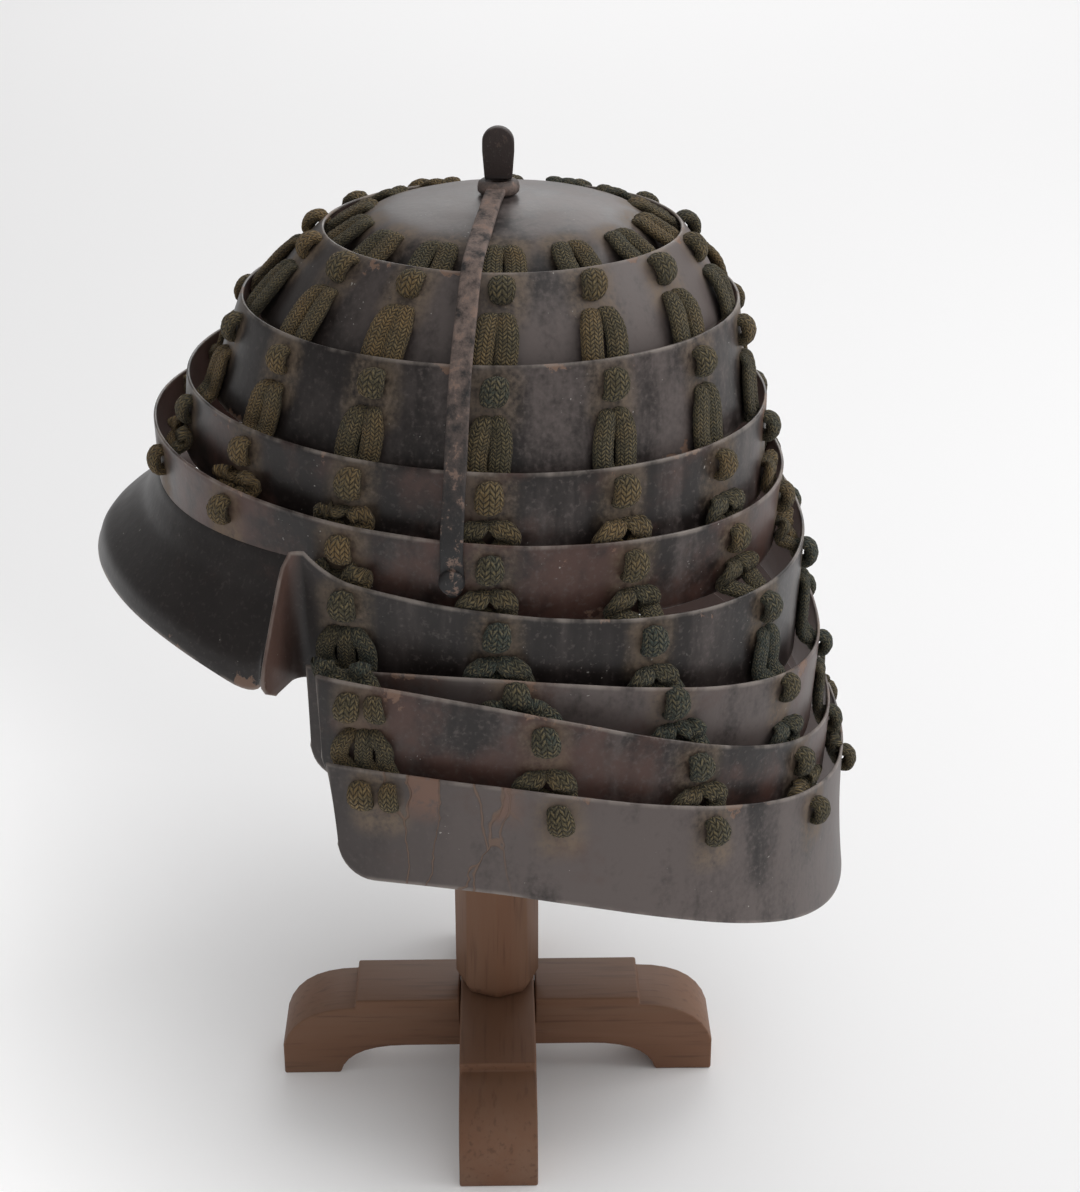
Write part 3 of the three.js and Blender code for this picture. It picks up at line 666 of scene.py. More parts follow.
def lacquer(props, name, russet_share, wear_and_light_share, cracked=False, flapped=False):
    """Old lacquer on iron: cloudy black and russet, rubbed at the edges, dusty round the cords, with painted shade
    darkening the front side and a per-plate share of rubbed grey that is partly painted light.
    """
    f = Finish(name, Coat_Roughness=0.3, Specular_IOR_Level=0.24)
    cloud = f.noise(13, 5, 0.6)
    streak = f.noise(70, 4, 0.6, (1, 1, 0.25))
    grain = f.noise(520, 3, 0.6)
    patch = f.noise(38, 6, 0.65, at=(0.3, 0.1, 0.7))
    inside, drop, rise = f.attribute("inside"), f.attribute("drop"), f.attribute("rise")
    lace = f.attribute("lace")
    # The rubbed grey spreads with a per-plate share that is partly real wear and partly painted light.
    worn = f.rise(cloud * 0.55 + streak * 0.3 + grain * 0.15, 0.62 - 0.3 * wear_and_light_share, 0.8 - 0.3 * wear_and_light_share)
    # Painted shade: the front of every plate, on the side away from the lights, is darkened and shows less rubbed
    # grey, streaking and grain.
    front = f.rise(f.along("Y"), 0.02, -0.08)
    kept = 1 - front * 0.9
    worn = worn * kept
    base = f.mix(worn, props.lacquer, props.worn)
    # Streaks of rubbed grey, held back where the front carries painted shade.
    base = f.mix(f.rise(streak, 0.45, 0.7) * kept * 0.35, base, props.worn)
    russet = f.rise(patch * 0.6 + cloud * 0.4, 0.62 - 0.2 * russet_share, 0.78 - 0.2 * russet_share)
    base = f.mix(russet * (0.35 + 0.5 * russet_share), base, props.russet)
    if flapped:
        base = f.mix(f.attribute("turned") * (0.4 + patch * 0.6), base, TURNED_END)
    # Grain of rubbed grey, also held back where the front carries painted shade.
    base = f.mix(f.rise(grain, 0.54, 0.72) * (0.15 + kept * 0.25), base, props.worn)
    halo = f.rise(lace + patch * 9, 13.5, 5.5) * f.rise(grain * 0.5 + streak * 0.5, 0.3, 0.6)
    base = f.mix(halo * 0.62, base, props.dust)
    edge = drop.least(rise)
    rubbed = f.rise(edge + patch * 1.6, 1.9, 0.5)
    chips = f.rise(patch + streak * 0.3 + grain * 0.12 - edge * 0.015, 0.81, 0.84)
    base = f.mix(chips * 0.75, base, props.chip)
    base = f.mix(rubbed * f.rise(streak, 0.35, 0.62) * 0.6, base, props.bare)
    specks = f.rise(f.noise(1000, 0), 0.81, 0.84) * f.rise(f.noise(45, 2), 0.56, 0.64)
    base = f.mix(specks * 0.6, base, SPECK)
    height = f.noise(160, 3, 0.5) * 0.5 + grain * 0.18 - chips * 0.5
    if cracked:
        base, height = cracks(f, base, height, props)
    base = f.mix(inside * 0.8, base, props.russet)
    rough = 0.36 + worn * 0.12 + halo * 0.25 + streak * 0.12 + chips * 0.2 + inside * 0.15
    normal = f.bump(height, 0.35 * MM, 0.8)
    return f.feed(Base_Color=base, Roughness=rough, Normal=normal, Coat_Weight=0.14 - halo * 0.13)


LOST_LACQUER = (0.15, 0.083, 0.058)
CRACK = (0.135, 0.085, 0.06)
CRACK_ZONE = (18, 62)  # millimetres from the lame's left end


def cracks(f, base, height, props):
    """Crazed and lifted lacquer near the lame's left end."""
    arc, drop = f.attribute("arc"), f.attribute("drop")
    wander = f.noise(60, 3) * 6
    where = f.add("ShaderNodeCombineXYZ", {}, {"X": arc * 0.075 + wander * 0.12, "Y": drop * 0.03 + wander * 0.1})
    lines = f.add("ShaderNodeTexVoronoi", {"feature": "DISTANCE_TO_EDGE"}, {"Vector": where, "Scale": 1.0})
    flake = f.add("ShaderNodeTexVoronoi", {"feature": "F1"}, {"Vector": where, "Scale": 1.0}, output="Color")
    lost = f.rise(f.add("ShaderNodeSeparateColor", {}, {"Color": flake}), 0.72, 0.76)
    zone = f.rise(arc, CRACK_ZONE[0] - 4, CRACK_ZONE[0] + 4) * f.rise(arc, CRACK_ZONE[1] + 6, CRACK_ZONE[1] - 6)
    line = f.rise(lines, 0.028, 0.008) * zone
    lost = lost * zone * f.rise(drop + wander * 2, 24, 14)
    base = f.mix(lost * f.rise(f.noise(250, 4), 0.25, 0.5) * 0.9, base, LOST_LACQUER)
    base = f.mix(line * 0.8, base, CRACK)
    return base, height - line * 1.2 - lost * 1.0


FINE_COLUMNS = 8  # plaited chevrons round a cord
FINE_STITCH = 1.35 * MM
# Painted shade colour for the grooves of the braid.
PAINTED_GROOVE_SHADE = (0.007, 0.006, 0.005)
# Painted highlight colours for the stitch crests and the fibres.
PAINTED_TIP_HIGHLIGHT = (0.25, 0.185, 0.088)
PAINTED_FIBRE_HIGHLIGHT = (0.22, 0.18, 0.105)


def braid_finish(props):
    f = Finish("braided cord", Specular_IOR_Level=0.15, Sheen_Weight=0.06, Sheen_Roughness=0.6)
    tint, weave = f.attribute("tint"), f.attribute("weave")
    fade = f.noise(110, 3)
    fibre = f.noise(1500, 3, 0.7)
    hue = tint + (fade - 0.5) * 0.9
    base = f.mix(f.rise(hue, 0.0, 0.5), props.teal, props.olive)
    base = f.mix(f.rise(hue, 0.5, 1.0), base, props.ochre)
    zigzag = abs((f.attribute("around") * FINE_COLUMNS).part() - 0.5) * 2
    fine = abs(((f.attribute("along") / FINE_STITCH + zigzag + fibre * 0.5) * math.pi).sine())
    fine = fine * (1 - abs(zigzag * 2 - 1) ** 6)
    # Painted shade in the grooves of the fine braid and in the valleys of the raised stitches.
    base = f.mix(f.rise(fine, 0.65, 0.1) * 0.85, base, PAINTED_GROOVE_SHADE)
    base = f.mix(f.rise(weave, 0.5, 0.1) * 0.3, base, PAINTED_GROOVE_SHADE)
    # Painted highlight on the crests of the fine stitches.
    tip_highlight = f.rise(fine, 0.6, 0.95) * f.rise(f.noise(420, 2), 0.42, 0.6)
    base = f.mix(tip_highlight * 0.34, base, PAINTED_TIP_HIGHLIGHT)
    # Painted highlight on scattered fibres of the braid.
    base = f.mix(f.rise(fibre, 0.5, 0.7) * 0.45, base, PAINTED_FIBRE_HIGHLIGHT)
    normal = f.bump(fine * 0.75 + fibre * 0.25, 0.8 * MM, 0.9)
    return f.feed(Base_Color=base, Roughness=0.88 + fibre * 0.1, Normal=normal)


RUST_FLECK = (0.2, 0.13, 0.1)
BRIGHT_GRAIN = (0.2, 0.18, 0.165)
BROWN_TAB = (0.025, 0.0135, 0.011)


def iron_finish(props):
    """Forged iron: rust and old lacquer above, blackened and chipped below."""
    f = Finish("latch iron", Specular_IOR_Level=0.4)
    height = f.along("Z")
    blotch = f.noise(170, 5, 0.7)
    grain = f.noise(900, 3, 0.65)
    upper = f.rise(height + blotch * 0.05, 0.298, 0.375) * f.rise(height, 0.37, 0.366)
    base = f.mix(upper * f.rise(blotch, 0.3, 0.6), props.iron, props.rust)
    base = f.mix(f.rise(blotch + grain * 0.3, 0.71, 0.79) * 0.7, base, RUST_FLECK)
    base = f.mix(f.rise(height, 0.368, 0.371) * 0.8, base, BROWN_TAB)
    base = f.mix(f.rise(grain, 0.58, 0.75) * 0.25, base, BRIGHT_GRAIN)
    rough = 0.5 + upper * 0.25 + grain * 0.15
    normal = f.bump(blotch * 0.6 + grain * 0.4, 0.4 * MM, 0.9)
    return f.feed(Base_Color=base, Roughness=rough, Normal=normal)


def wood_finish(props, name, stretch):
    """Oiled hardwood with fine dark pores along the grain, paler on faces that point up."""
    f = Finish(name, Specular_IOR_Level=0.35)
    figure = f.noise(45, 4, 0.6, stretch)
    pores = f.noise(520, 2, 0.5, stretch)
    cloud = f.noise(30, 4)
    facing = f.add("ShaderNodeNewGeometry", output="Normal")
    up = f.add("ShaderNodeSeparateXYZ", {}, {"Vector": facing}, output="Z")
    base = f.mix(f.rise(figure, 0.35, 0.7) * 0.5, props.heart, props.pale)
    base = f.mix(f.rise(pores, 0.52, 0.75) * 0.4, base, props.pore)
    # Faces that point up are mixed towards the paler colour.
    base = f.mix(f.rise(up, 0.5, 0.95) * f.rise(cloud, 0.25, 0.6) * 0.2, base, props.pale)
    rough = 0.48 + figure * 0.15 + cloud * 0.1
    normal = f.bump(pores * 0.6 + figure * 0.4, 0.25 * MM, 0.6)
    return f.feed(Base_Color=base, Roughness=rough, Normal=normal)


# Lacing

BRAID_SIDES = 27
BRAID_FLATNESS = 0.5
STITCH_COLUMNS = 3  # raised chevrons round a cord


def braid_tree(props, material):
    """Sweeps a flat braid along each path, with its stitches raised in chevrons."""
    tree = bpy.data.node_groups.new("Flat braid", "GeometryNodeTree")
    face = tree.interface
    face.new_socket("Geometry", in_out="OUTPUT", socket_type="NodeSocketGeometry")
    face.new_socket("Geometry", in_out="INPUT", socket_type="NodeSocketGeometry")
    sizes = {"Stitch": props.stitch, "Depth": props.depth, "Step": props.step, "Flatness": BRAID_FLATNESS}
    for name in sizes:
        face.new_socket(name, in_out="INPUT", socket_type="NodeSocketFloat")
    g = Graph(tree)
    inlet = tree.nodes.new("NodeGroupInput")
    given = {socket.name: Value(g, socket) for socket in inlet.outputs if socket.name}

    def named(name, kind="FLOAT"):
        return g.add("GeometryNodeInputNamedAttribute", {"data_type": kind}, {"Name": name})

    def store(geometry, name, value):
        keep = {"data_type": "FLOAT", "domain": "POINT"}
        return g.add("GeometryNodeStoreNamedAttribute", keep, {"Geometry": geometry, "Name": name, "Value": value})

    path = g.add("GeometryNodeMeshToCurve", {}, {"Mesh": given["Geometry"]})
    path = g.add("GeometryNodeSetCurveNormal", {"mode": "FREE"},
                 {"Curve": path, "Normal": named("flat", "FLOAT_VECTOR")})
    path = g.add("GeometryNodeResampleCurve", {"mode": "LENGTH"}, {"Curve": path, "Length": given["Step"]})
    path = store(path, "along", g.add("GeometryNodeSplineParameter", output="Length"))
    ring = g.add("GeometryNodeCurvePrimitiveCircle", {}, {"Resolution": BRAID_SIDES, "Radius": 1.0})
    ring = store(ring, "around", g.add("GeometryNodeSplineParameter", output="Factor"))
    shape = g.add("ShaderNodeCombineXYZ", {}, {"X": 1.0, "Y": given["Flatness"], "Z": 1.0})
    ring = g.add("GeometryNodeTransform", {}, {"Geometry": ring, "Scale": shape})
    sweep = {"Curve": path, "Profile Curve": ring, "Scale": named("girth"), "Fill Caps": True}
    cord = g.add("GeometryNodeCurveToMesh", {}, sweep)
    zigzag = abs((named("around") * STITCH_COLUMNS).part() - 0.5) * 2
    stitch = abs(((named("along") / given["Stitch"] + zigzag * 1.1) * math.pi).sine())
    groove = 1 - abs(zigzag * 2 - 1) ** 6
    weave = stitch ** 0.7 * (0.35 + groove * 0.65)
    cord = store(cord, "weave", weave)
    lift = g.add("ShaderNodeVectorMath", {"operation": "SCALE"},
                 {0: g.add("GeometryNodeInputNormal"), "Scale": (weave - 0.6) * given["Depth"]})
    cord = g.add("GeometryNodeSetPosition", {}, {"Geometry": cord, "Offset": lift})
    cord = g.add("GeometryNodeSetShadeSmooth", {}, {0: cord})
    cord = g.add("GeometryNodeRealizeInstances", {}, {"Geometry": cord})
    cord = g.add("GeometryNodeSetMaterial", {}, {"Geometry": cord, "Material": material})
    outlet = tree.nodes.new("NodeGroupOutput")
    tree.links.new(cord.socket, outlet.inputs["Geometry"])
    return tree, sizes


class Strand(NamedTuple):
    """One cord's route in millimetres, its width, its colour from teal 0 to ochre 1, and its taper."""

    points: np.ndarray
    across: np.ndarray
    width: float
    tint: float
    shape: tuple


PATH_STEP = 1.2


def strands_object(name, strands):
    """The routes as chains of edges that carry what the braid needs."""
    points, edges, flats, girths, tints = [], [], [], [], []
    for strand in strands:
        span = np.linalg.norm(np.diff(strand.points, axis=0), axis=1).sum()
        route = through(strand.points, max(6, int(span / PATH_STEP)))
        way = unit(np.gradient(route, axis=0))
        flat = unit(strand.across - way * (way @ strand.across)[:, None])
        first = len(points)
        points.extend(in_frame(route))
        edges.extend((first + k, first + k + 1) for k in range(len(route) - 1))
        flats.extend(flat)
        share = np.linspace(0, 1, len(route))
        girths.extend(strand.width / 2 * MM * np.interp(share, *strand.shape))
        tints.extend([strand.tint] * len(route))
    mesh = bpy.data.meshes.new(name)
    mesh.from_pydata([tuple(p) for p in points], edges, [])
    mesh.attributes.new("flat", "FLOAT_VECTOR", "POINT").data.foreach_set("vector", np.ravel(flats))
    for field, values in (("girth", girths), ("tint", tints)):
        mesh.attributes.new(field, "FLOAT", "POINT").data.foreach_set("value", values)
    piece = bpy.data.objects.new(name, mesh)
    bpy.context.scene.collection.objects.link(piece)
    return piece


def grown(piece, tree, sizes):
    """The plain mesh that a node tree makes from a piece."""
    modifier = piece.modifiers.new(tree.name, "NODES")
    modifier.node_group = tree
    for socket in tree.interface.items_tree:
        if socket.item_type == "SOCKET" and socket.in_out == "INPUT" and socket.name in sizes:
            modifier[socket.identifier] = sizes[socket.name]
    seen = piece.evaluated_get(bpy.context.evaluated_depsgraph_get())
    mesh = bpy.data.meshes.new_from_object(seen)
    bpy.data.objects.remove(piece)
    return mesh


KNOT_ARCH = ((-2.9, -2.5), (-3.5, 0.6), (-2.6, 2.5), (0, 3.2), (2.6, 2.5), (3.5, 0.6), (2.9, -2.5))  # depth, height
KNOT_SHAPE = ((0, 0.25, 0.5, 0.75, 1), (0.55, 0.84, 1, 0.84, 0.55))  # share of the route, share of the width
CORD_SHAPE = ((0, 0.1, 0.2, 0.36, 0.8, 1), (0.5, 0.6, 0.82, 1, 1, 0.75))
CAP_START = 3.4  # where the first cords come out of the cap
PAIR_SIDES = (-3.8, 3.8)
END_SIDES = (-6.6, 0.2, 6.8)  # three cords at the ends of the lames
END_WIDTH = 0.82
END_KNOTS = ((0.92, -4.2), (0.7, 5.2))  # share of the width, place along the edge
PAIR_START = 8.8  # from a knot's middle to where its cords come out again
LONG_RUN = 11
LOOP_RUN = 4.6  # how far above the next edge a slack loop comes out
PLATE = 1.6
TINTS = (0.5, 0.55, 0.5, 0.6, 0.62, 0.12, 0.18, 0.42, 0.5)  # mean tint of the cords on the cap and each plate


def knot(spot, width, tint, draw, side=0.0):
    lean = draw.uniform(-0.8, 0.8)
    swell = draw.uniform(0.92, 1.1)
    points = [spot.place(spot.hole + d * swell, h * swell, side + lean * d / 5) for d, h in KNOT_ARCH]
    return Strand(np.array(points), spot.across, width * draw.uniform(0.94, 1.06), tint, KNOT_SHAPE)


def pair(spot, after, start, width, tint, draw, sides):
    """The cords from one plate's holes down behind the next plate, to its hole."""
    edge_depth, edge_off = spot.meets(after.edge)
    run = edge_depth - start
    made = []
    for side in sides:
        shift = draw.uniform(-0.5, 0.5)
        if run > LONG_RUN or len(sides) > 2:
            route = [(start, -3.5, 0.45), (start + 0.1, 0.2, 0.5), (start + 2.2, 2.0, 0.74),
                     (start + run * 0.5, 2.1, 1.04), (edge_depth - 0.5, min(2.1, edge_off - PLATE - 2), 1.06)]
        else:
            bulge = draw.uniform(2.6, 3.6)
            splay = draw.uniform(1.5, 2.1)
            out = edge_depth - min(run, LOOP_RUN)
            route = [(out, -3.5, 0.3), (out + 0.2, 0.8, 0.5), (out + 0.8, bulge, 1.05),
                     (edge_depth - 1.6, bulge, splay), (edge_depth + 1.4, min(2.2, edge_off - PLATE - 2), splay)]
        points = [spot.place(depth, off, side * share + shift) for depth, off, share in route]
        points.append(after.place(after.hole * 0.55, -PLATE - 2.3, side * 0.8))
        points.append(after.place(after.hole, -PLATE - 1.2, side * 0.45))
        made.append(Strand(np.array(points), spot.across, width * draw.uniform(0.94, 1.05),
                           tint + draw.uniform(-0.15, 0.15), CORD_SHAPE))
    return made


def column_strands(props, angle, draw):
    """Everything on one column of lacing: pairs and knots from the cap down."""
    width, knot_width = props.width / MM, props.knot / MM
    plates = (*BOWL_RINGS, *NECK_LAMES) if has_neck(angle) else BOWL_RINGS
    forward = 0.22 * max(0.0, -math.cos(angle))
    spot = Spot(CAP_WALL, angle)
    start = CAP_START
    strands = []
    for k, plate in enumerate(plates):
        tint = TINTS[k] + forward + draw.uniform(-0.2, 0.2)
        after = Spot(plate, angle)
        ends = is_outermost(angle) and k in (5, 7)
        sides = END_SIDES if ends else PAIR_SIDES
        strands += pair(spot, after, start, width * (END_WIDTH if ends else 1), tint, draw, sides)
        tint = TINTS[k + 1] + forward + draw.uniform(-0.25, 0.25)
        if is_outermost(angle) and k in (6, 7):
            strands += [knot(after, knot_width * share, tint, draw, side * math.copysign(1, angle))
                        for share, side in END_KNOTS]
        else:
            strands.append(knot(after, knot_width, tint, draw))
        spot, start = after, after.hole + PAIR_START
    return strands


# Latch and stand

def swept(name, route, across, half_widths, thick):
    """A strap with rounded edges along a route in millimetres."""
    way = unit(np.gradient(route, axis=0))
    flat = unit(across - way * np.sum(way * across, axis=1, keepdims=True))
    out = np.cross(way, flat)
    turns = np.linspace(0, 2 * math.pi, 20, endpoint=False)
    wide = np.sign(np.cos(turns)) * np.abs(np.cos(turns)) ** 0.35
    high = np.sign(np.sin(turns)) * np.abs(np.sin(turns)) ** 0.55
    points = (route[:, None] + flat[:, None] * (half_widths[:, None] * wide)[..., None]
              + out[:, None] * (thick / 2 * high)[None, :, None])
    rows, columns = points.shape[:2]
    faces = grid_faces(rows, columns, True, 0, True)
    faces.append(tuple(range(columns)))
    faces.append(tuple(range(rows * columns - 1, (rows - 1) * columns - 1, -1)))
    return mesh_of(name, in_frame(points.reshape(-1, 3)), faces)


def lathed(name, profile, steps, move):
    """A closed turned piece from a profile of radius and height that starts and ends off the axis or on it."""
    profile = np.asarray(profile, float)
    turns = np.linspace(0, 2 * math.pi, steps, endpoint=False)
    points = np.stack([profile[:, :1] * np.cos(turns), profile[:, :1] * np.sin(turns),
                       np.broadcast_to(profile[:, 1:], (len(profile), steps))], axis=-1).reshape(-1, 3)
    mesh = mesh_of(name, points, grid_faces(len(profile), steps, True, 0, False))
    shape = bmesh.new()
    shape.from_mesh(mesh)
    bmesh.ops.remove_doubles(shape, verts=shape.verts, dist=1e-5)
    bmesh.ops.recalc_face_normals(shape, faces=shape.faces)
    shape.to_mesh(mesh)
    shape.free()
    mesh.transform(move)
    return mesh


def softened(node, piece_name, round_off, segments=3, sharp=25):
    """A copy of a frame node with its edges rounded."""
    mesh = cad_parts[node].data.copy()
    mesh.name = piece_name
    shape = bmesh.new()
    shape.from_mesh(mesh)
    bmesh.ops.remove_doubles(shape, verts=shape.verts, dist=1e-6)
    flat = math.radians(1)
    bmesh.ops.dissolve_limit(shape, angle_limit=flat, verts=shape.verts, edges=shape.edges)
    edges = [e for e in shape.edges if e.is_manifold and e.calc_face_angle() > math.radians(sharp)]
    bmesh.ops.bevel(shape, geom=edges, offset=round_off, segments=segments, profile=0.5, affect="EDGES",
                    clamp_overlap=True)
    shape.to_mesh(mesh)
    shape.free()
    mesh.polygons.foreach_set("use_smooth", [True] * len(mesh.polygons))
    mesh.set_sharp_from_angle(angle=math.radians(sharp))
    return mesh


def bar_mesh(props):
    path = through(BAR_PATH, 150)
    route = np.stack([path[:, 0], TAB_Y - BAR_SLANT * path[:, 0], path[:, 1]], axis=1)
    share = np.linspace(0, 1, len(route))
    half = props.width / MM / 2 * np.interp(share, (0, 0.12, 1), (0.92, 0.94, 1.06))
    half = half + 0.12 * unevenness(route * 3)
    half[-6:] *= np.sqrt(1 - np.linspace(0, 0.97, 6) ** 2)
    across = np.array([-BAR_SLANT, -1.0, 0.0])
    return swept("side_bar", route, across, half, props.thickness / MM)


# Operators

class FOLDING_HELMET_OT_stage(bpy.types.Operator):
    """Lay the floor, hang the lights and set up the camera"""

    bl_idname = "folding_helmet.stage"
    bl_label = "Stage"

    CAMERA = (775.2, 1.67, 568.0)
    LOOK = (-0.90685, 0.01852, -0.42104)
    RIGHT = (0.0204, 0.9998, 0.0)
    FLOOR_RADIUS = 9.0
    SENSOR = 36
    WORLD_COLOUR = (1.0, 0.99, 0.985, 1)
    WORLD_STRENGTH = (0.32, 0.76)  # from the front of the helmet and from behind it
    # name, place in metres, aim, width, height, power
    LIGHTS = (
        ("right_softbox", (-0.1, 1.5, 1.5), (0, 0, 0.2), 1.5, 1.2, 17),
        ("back_softbox", (-3.2, 0.5, 1.9), (0, 0, 0.3), 2.6, 1.6, 36),
        ("overhead", (0.5, 0.5, 2.0), (0, 0, 0.2), 1.4, 1.4, 7),
    )

    def execute(self, context):
        props = settings(context).stage
        scene = context.scene
        self.floor(scene, props)
        self.world(scene)
        for name, place, aim, width, height, power in self.LIGHTS:
            lamp = bpy.data.lights.new(name, "AREA")
            lamp.shape, lamp.size, lamp.size_y, lamp.energy = "RECTANGLE", width, height, power
            light = bpy.data.objects.new(name, lamp)
            light.location = place
            light.rotation_euler = (Vector(aim) - Vector(place)).to_track_quat("-Z", "Y").to_euler()
            scene.collection.objects.link(light)
        lens = bpy.data.cameras.new("camera")
        lens.lens, lens.sensor_width = props.lens, self.SENSOR
        camera = bpy.data.objects.new("camera", lens)
        right, look = Vector(self.RIGHT).normalized(), Vector(self.LOOK).normalized()
        turn = Matrix((right, right.cross(look), -look)).transposed()
        camera.matrix_world = Matrix.Translation(in_frame(np.array(self.CAMERA))) @ turn.to_4x4()
        scene.collection.objects.link(camera)
        scene.camera = camera
        scene.view_settings.view_transform = "Standard"
        return {"FINISHED"}

    def floor(self, scene, props):
        mesh = bpy.data.meshes.new("floor")
        shape = bmesh.new()
        bmesh.ops.create_circle(shape, cap_ends=True, radius=self.FLOOR_RADIUS, segments=96)
        shape.to_mesh(mesh)
        shape.free()
        # Painted light: the floor glows a little, most towards the camera and the left, which lifts the helmet's
        # shadow there.
        f = Finish("pale floor", Specular_IOR_Level=0.2, Roughness=0.75, Emission_Strength=0.45)
        shade = f.rise(f.noise(2, 2), 0.3, 0.7)
        painted_floor_glow = f.mix(f.rise(f.along("X") * 0.7 - f.along("Y"), -0.05, 0.35), (0, 0, 0), (1, 1, 1))
        pale = f.mix(shade * 0.03, props.floor, (0.8, 0.8, 0.81))
        mesh.materials.append(f.feed(Base_Color=pale, Emission_Color=painted_floor_glow))
        piece = bpy.data.objects.new("floor", mesh)
        scene.collection.objects.link(piece)

    def world(self, scene):
        scene.world = bpy.data.worlds.new("white room")
        scene.world.use_nodes = True
        tree = scene.world.node_tree
        sky = Graph(tree)
        way = sky.add("ShaderNodeTexCoord", output="Generated")
        side = sky.add("ShaderNodeSeparateXYZ", {}, {"Vector": way}, output="Y")
        front, behind = self.WORLD_STRENGTH
        limits = {"Value": side, "From Min": -1.0, "From Max": 1.0, "To Min": front, "To Max": behind}
        strength = sky.add("ShaderNodeMapRange", {}, limits)
        ground = tree.nodes["Background"]
        ground.inputs["Color"].default_value = self.WORLD_COLOUR
        tree.links.new(strength.socket, ground.inputs["Strength"])


class FOLDING_HELMET_OT_bowl(bpy.types.Operator):
    """Make the cap and the four rings of the bowl"""

    bl_idname = "folding_helmet.bowl"
    bl_label = "Cap and bowl rings"

    RUSSET = (0.15, 0.3, 0.75, 1.0)
    # Share of rubbed grey on each ring: partly wear, partly painted light, higher on rings that catch more light.
    WEAR_AND_PAINTED_LIGHT = (1.0, 0.65, 0.45, 0.5)

    def execute(self, context):
        props = settings(context).plates
        step, thick = props.facet / MM, props.thickness / MM
        cap_spots = [Spot(CAP_WALL, a).place(depth, 0, side) for a in column_angles()
                     for depth in (3, 7) for side in (-3, 3)]
        dressed_plate(props, "cap", cap_grid(step), True, lacquer(props, "cap lacquer", 0.0, 0.8), cap_spots)
        for plate, russet, worn in zip(BOWL_RINGS, self.RUSSET, self.WEAR_AND_PAINTED_LIGHT):
            finish = lacquer(props, plate.name + " lacquer", russet, worn)
            dressed_plate(props, plate.name, ring_grid(plate, step, thick), True, finish, halo_spots(plate))
        return {"FINISHED"}


class FOLDING_HELMET_OT_neck_guard(bpy.types.Operator):
    """Make the four lames of the neck guard"""

    bl_idname = "folding_helmet.neck_guard"
    bl_label = "Neck guard"

    RUSSET = (0.2, 0.85, 1.0, 0.45)
    # Share of rubbed grey on each lame: partly wear, partly painted light, higher on lames that catch more light
    # from the side and the floor.
    WEAR_AND_PAINTED_LIGHT = (0.4, 1.0, 0.6, 0.95)

    def execute(self, context):
        props = settings(context).plates
        step, thick = props.facet / MM, props.thickness / MM
        for k, (plate, russet, worn) in enumerate(zip(NECK_LAMES, self.RUSSET, self.WEAR_AND_PAINTED_LIGHT)):
            grid = flapped_grid(plate, step, thick) if k == 0 else lame_grid(plate, step, thick)
            finish = lacquer(props, plate.name + " lacquer", russet, worn, plate.name == CRACKED_LAME, k == 0)
            turned = np.zeros(grid.shape[:2])
            if k == 0:
                share = np.clip(np.linspace(0, 1.6, FLAP_COLUMNS), 0, 1)
                turned[:, :FLAP_COLUMNS], turned[:, -FLAP_COLUMNS:] = share[::-1], share
            dressed_plate(props, plate.name, grid, False, finish, halo_spots(plate), turned=turned)
        return {"FINISHED"}


class FOLDING_HELMET_OT_visor(bpy.types.Operator):
    """Make the flared visor"""

    bl_idname = "folding_helmet.visor"
    bl_label = "Visor"

    def execute(self, context):
        props = settings(context).plates
        grid = visor_grid(props.facet / MM, props.thickness / MM)
        # A low share of rubbed grey keeps the visor dark, partly as painted shade.
        dressed_plate(props, "visor", grid, False, lacquer(props, "visor lacquer", 0.3, 0.1), flush=True)
        return {"FINISHED"}


class FOLDING_HELMET_OT_lacing(bpy.types.Operator):
    """Braid the cords and tie the knots of every column"""

    bl_idname = "folding_helmet.lacing"
    bl_label = "Lacing"

    def execute(self, context):
        props = settings(context).lacing
        material = braid_finish(props)
        tree, sizes = braid_tree(props, material)
        for k, angle in enumerate(column_angles()):
            draw = np.random.default_rng(SEED + k)
            number = f"{k + 1:02d}"
            paths = strands_object("routes_" + number, column_strands(props, angle, draw))
            mesh = grown(paths, tree, sizes)
            new_piece("cords_" + number, mesh, material, "cord", "lacing_" + number)
        return {"FINISHED"}


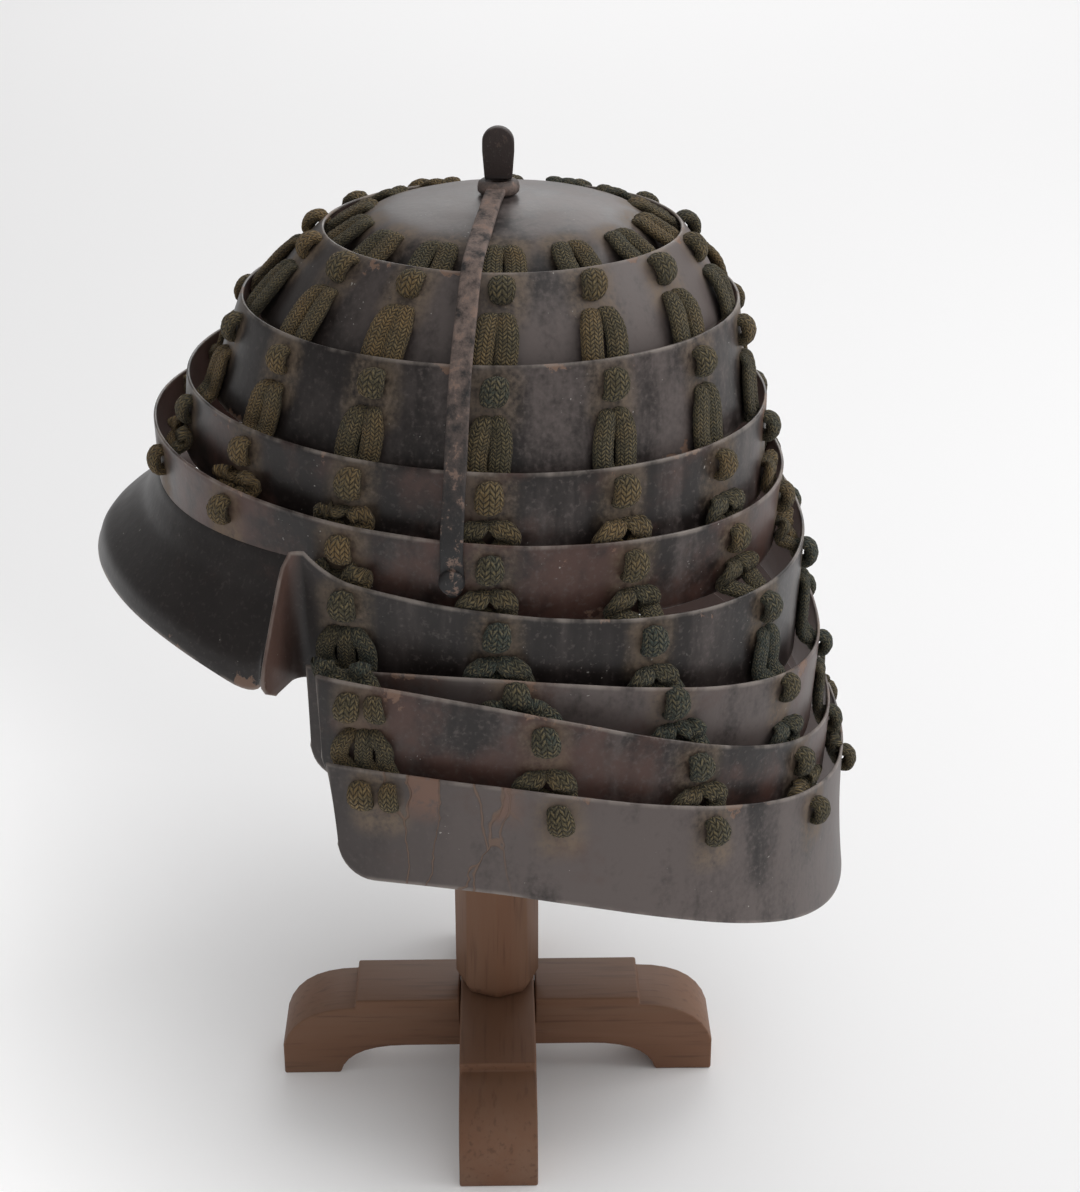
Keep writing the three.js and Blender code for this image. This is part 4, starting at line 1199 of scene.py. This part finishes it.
class FOLDING_HELMET_OT_latch(bpy.types.Operator):
    """Make the side bar, its eye, the tab that it hooks on and its rivet"""

    bl_idname = "folding_helmet.latch"
    bl_label = "Latch"

    EYE = ((3.3, 363.8), (6.6, 363.8), (7.3, 364.5), (7.4, 366.2), (7.0, 367.6), (6.0, 368.3), (4.2, 368.3),
           (3.3, 367.4), (3.3, 363.8))
    RIVET = ((0, -2.2), (4.3, -2.2), (4.3, 0.1), (4.0, 1.1), (3.1, 1.9), (1.7, 2.35), (0, 2.45))

    def execute(self, context):
        props = settings(context).latch
        iron = iron_finish(props)
        new_piece("latch_bar", bar_mesh(props), iron, "bare_iron", "side_bar")
        centre = in_frame(np.array([0.0, TAB_Y, 0.0]))
        eye = lathed("bar_eye", np.array(self.EYE) * MM, 40, Matrix.Translation(centre))
        new_piece("bar_eye", eye, iron, "bare_iron")
        tab = softened("top_tab", "hook_tab", 0.9 * MM)
        new_piece("hook_tab", tab, iron, "bare_iron", "top_tab")
        head = in_frame(np.array([RIVET_X, TAB_Y - BAR_SLANT * RIVET_X, RIVET_Z]))
        turn = Matrix.Translation(head) @ Matrix.Rotation(math.pi / 2, 4, "Y")
        rivet = lathed("latch_rivet", np.array(self.RIVET) * MM, 28, turn)
        new_piece("latch_rivet", rivet, iron, "bare_iron", "bar_rivet")
        return {"FINISHED"}


class FOLDING_HELMET_OT_stand(bpy.types.Operator):
    """Make the wooden post and its crossed feet"""

    bl_idname = "folding_helmet.stand"
    bl_label = "Stand"

    # node, piece, stretch of the grain along the timber
    TIMBERS = (
        ("stand_post", "post", (1, 1, 0.06)),
        ("stand_beam_side", "side_foot", (0.06, 1, 1)),
        ("stand_beam_front", "front_foot", (1, 0.06, 1)),
    )

    def execute(self, context):
        props = settings(context).stand
        for node, piece, stretch in self.TIMBERS:
            wood = wood_finish(props, piece + " wood", stretch)
            new_piece(piece, softened(node, piece, props.round), wood, "stand_wood", node)
        return {"FINISHED"}


OPERATORS = (
    FOLDING_HELMET_OT_stage,
    FOLDING_HELMET_OT_stand,
    FOLDING_HELMET_OT_bowl,
    FOLDING_HELMET_OT_neck_guard,
    FOLDING_HELMET_OT_visor,
    FOLDING_HELMET_OT_lacing,
    FOLDING_HELMET_OT_latch,
)


class FOLDING_HELMET_PT_panel(bpy.types.Panel):
    """Lists the steps that build the helmet"""

    bl_label = "Folding helmet"
    bl_space_type = "VIEW_3D"
    bl_region_type = "UI"
    bl_category = "Helmet"

    def draw(self, context):
        for operator in OPERATORS:
            self.layout.operator(operator.bl_idname)


CLASSES = (
    PlateSettings, LacingSettings, LatchSettings, StandSettings, StageSettings, HelmetSettings,
    *OPERATORS, FOLDING_HELMET_PT_panel,
)


def register():
    for cls in CLASSES:
        bpy.utils.register_class(cls)
    bpy.types.Scene.folding_helmet = bpy.props.PointerProperty(type=HelmetSettings)


def unregister():
    del bpy.types.Scene.folding_helmet
    for cls in reversed(CLASSES):
        bpy.utils.unregister_class(cls)


def main():
    register()
    for operator in OPERATORS:
        group, step = operator.bl_idname.split(".")
        getattr(getattr(bpy.ops, group), step)()


if __name__ == "__main__":
    main()
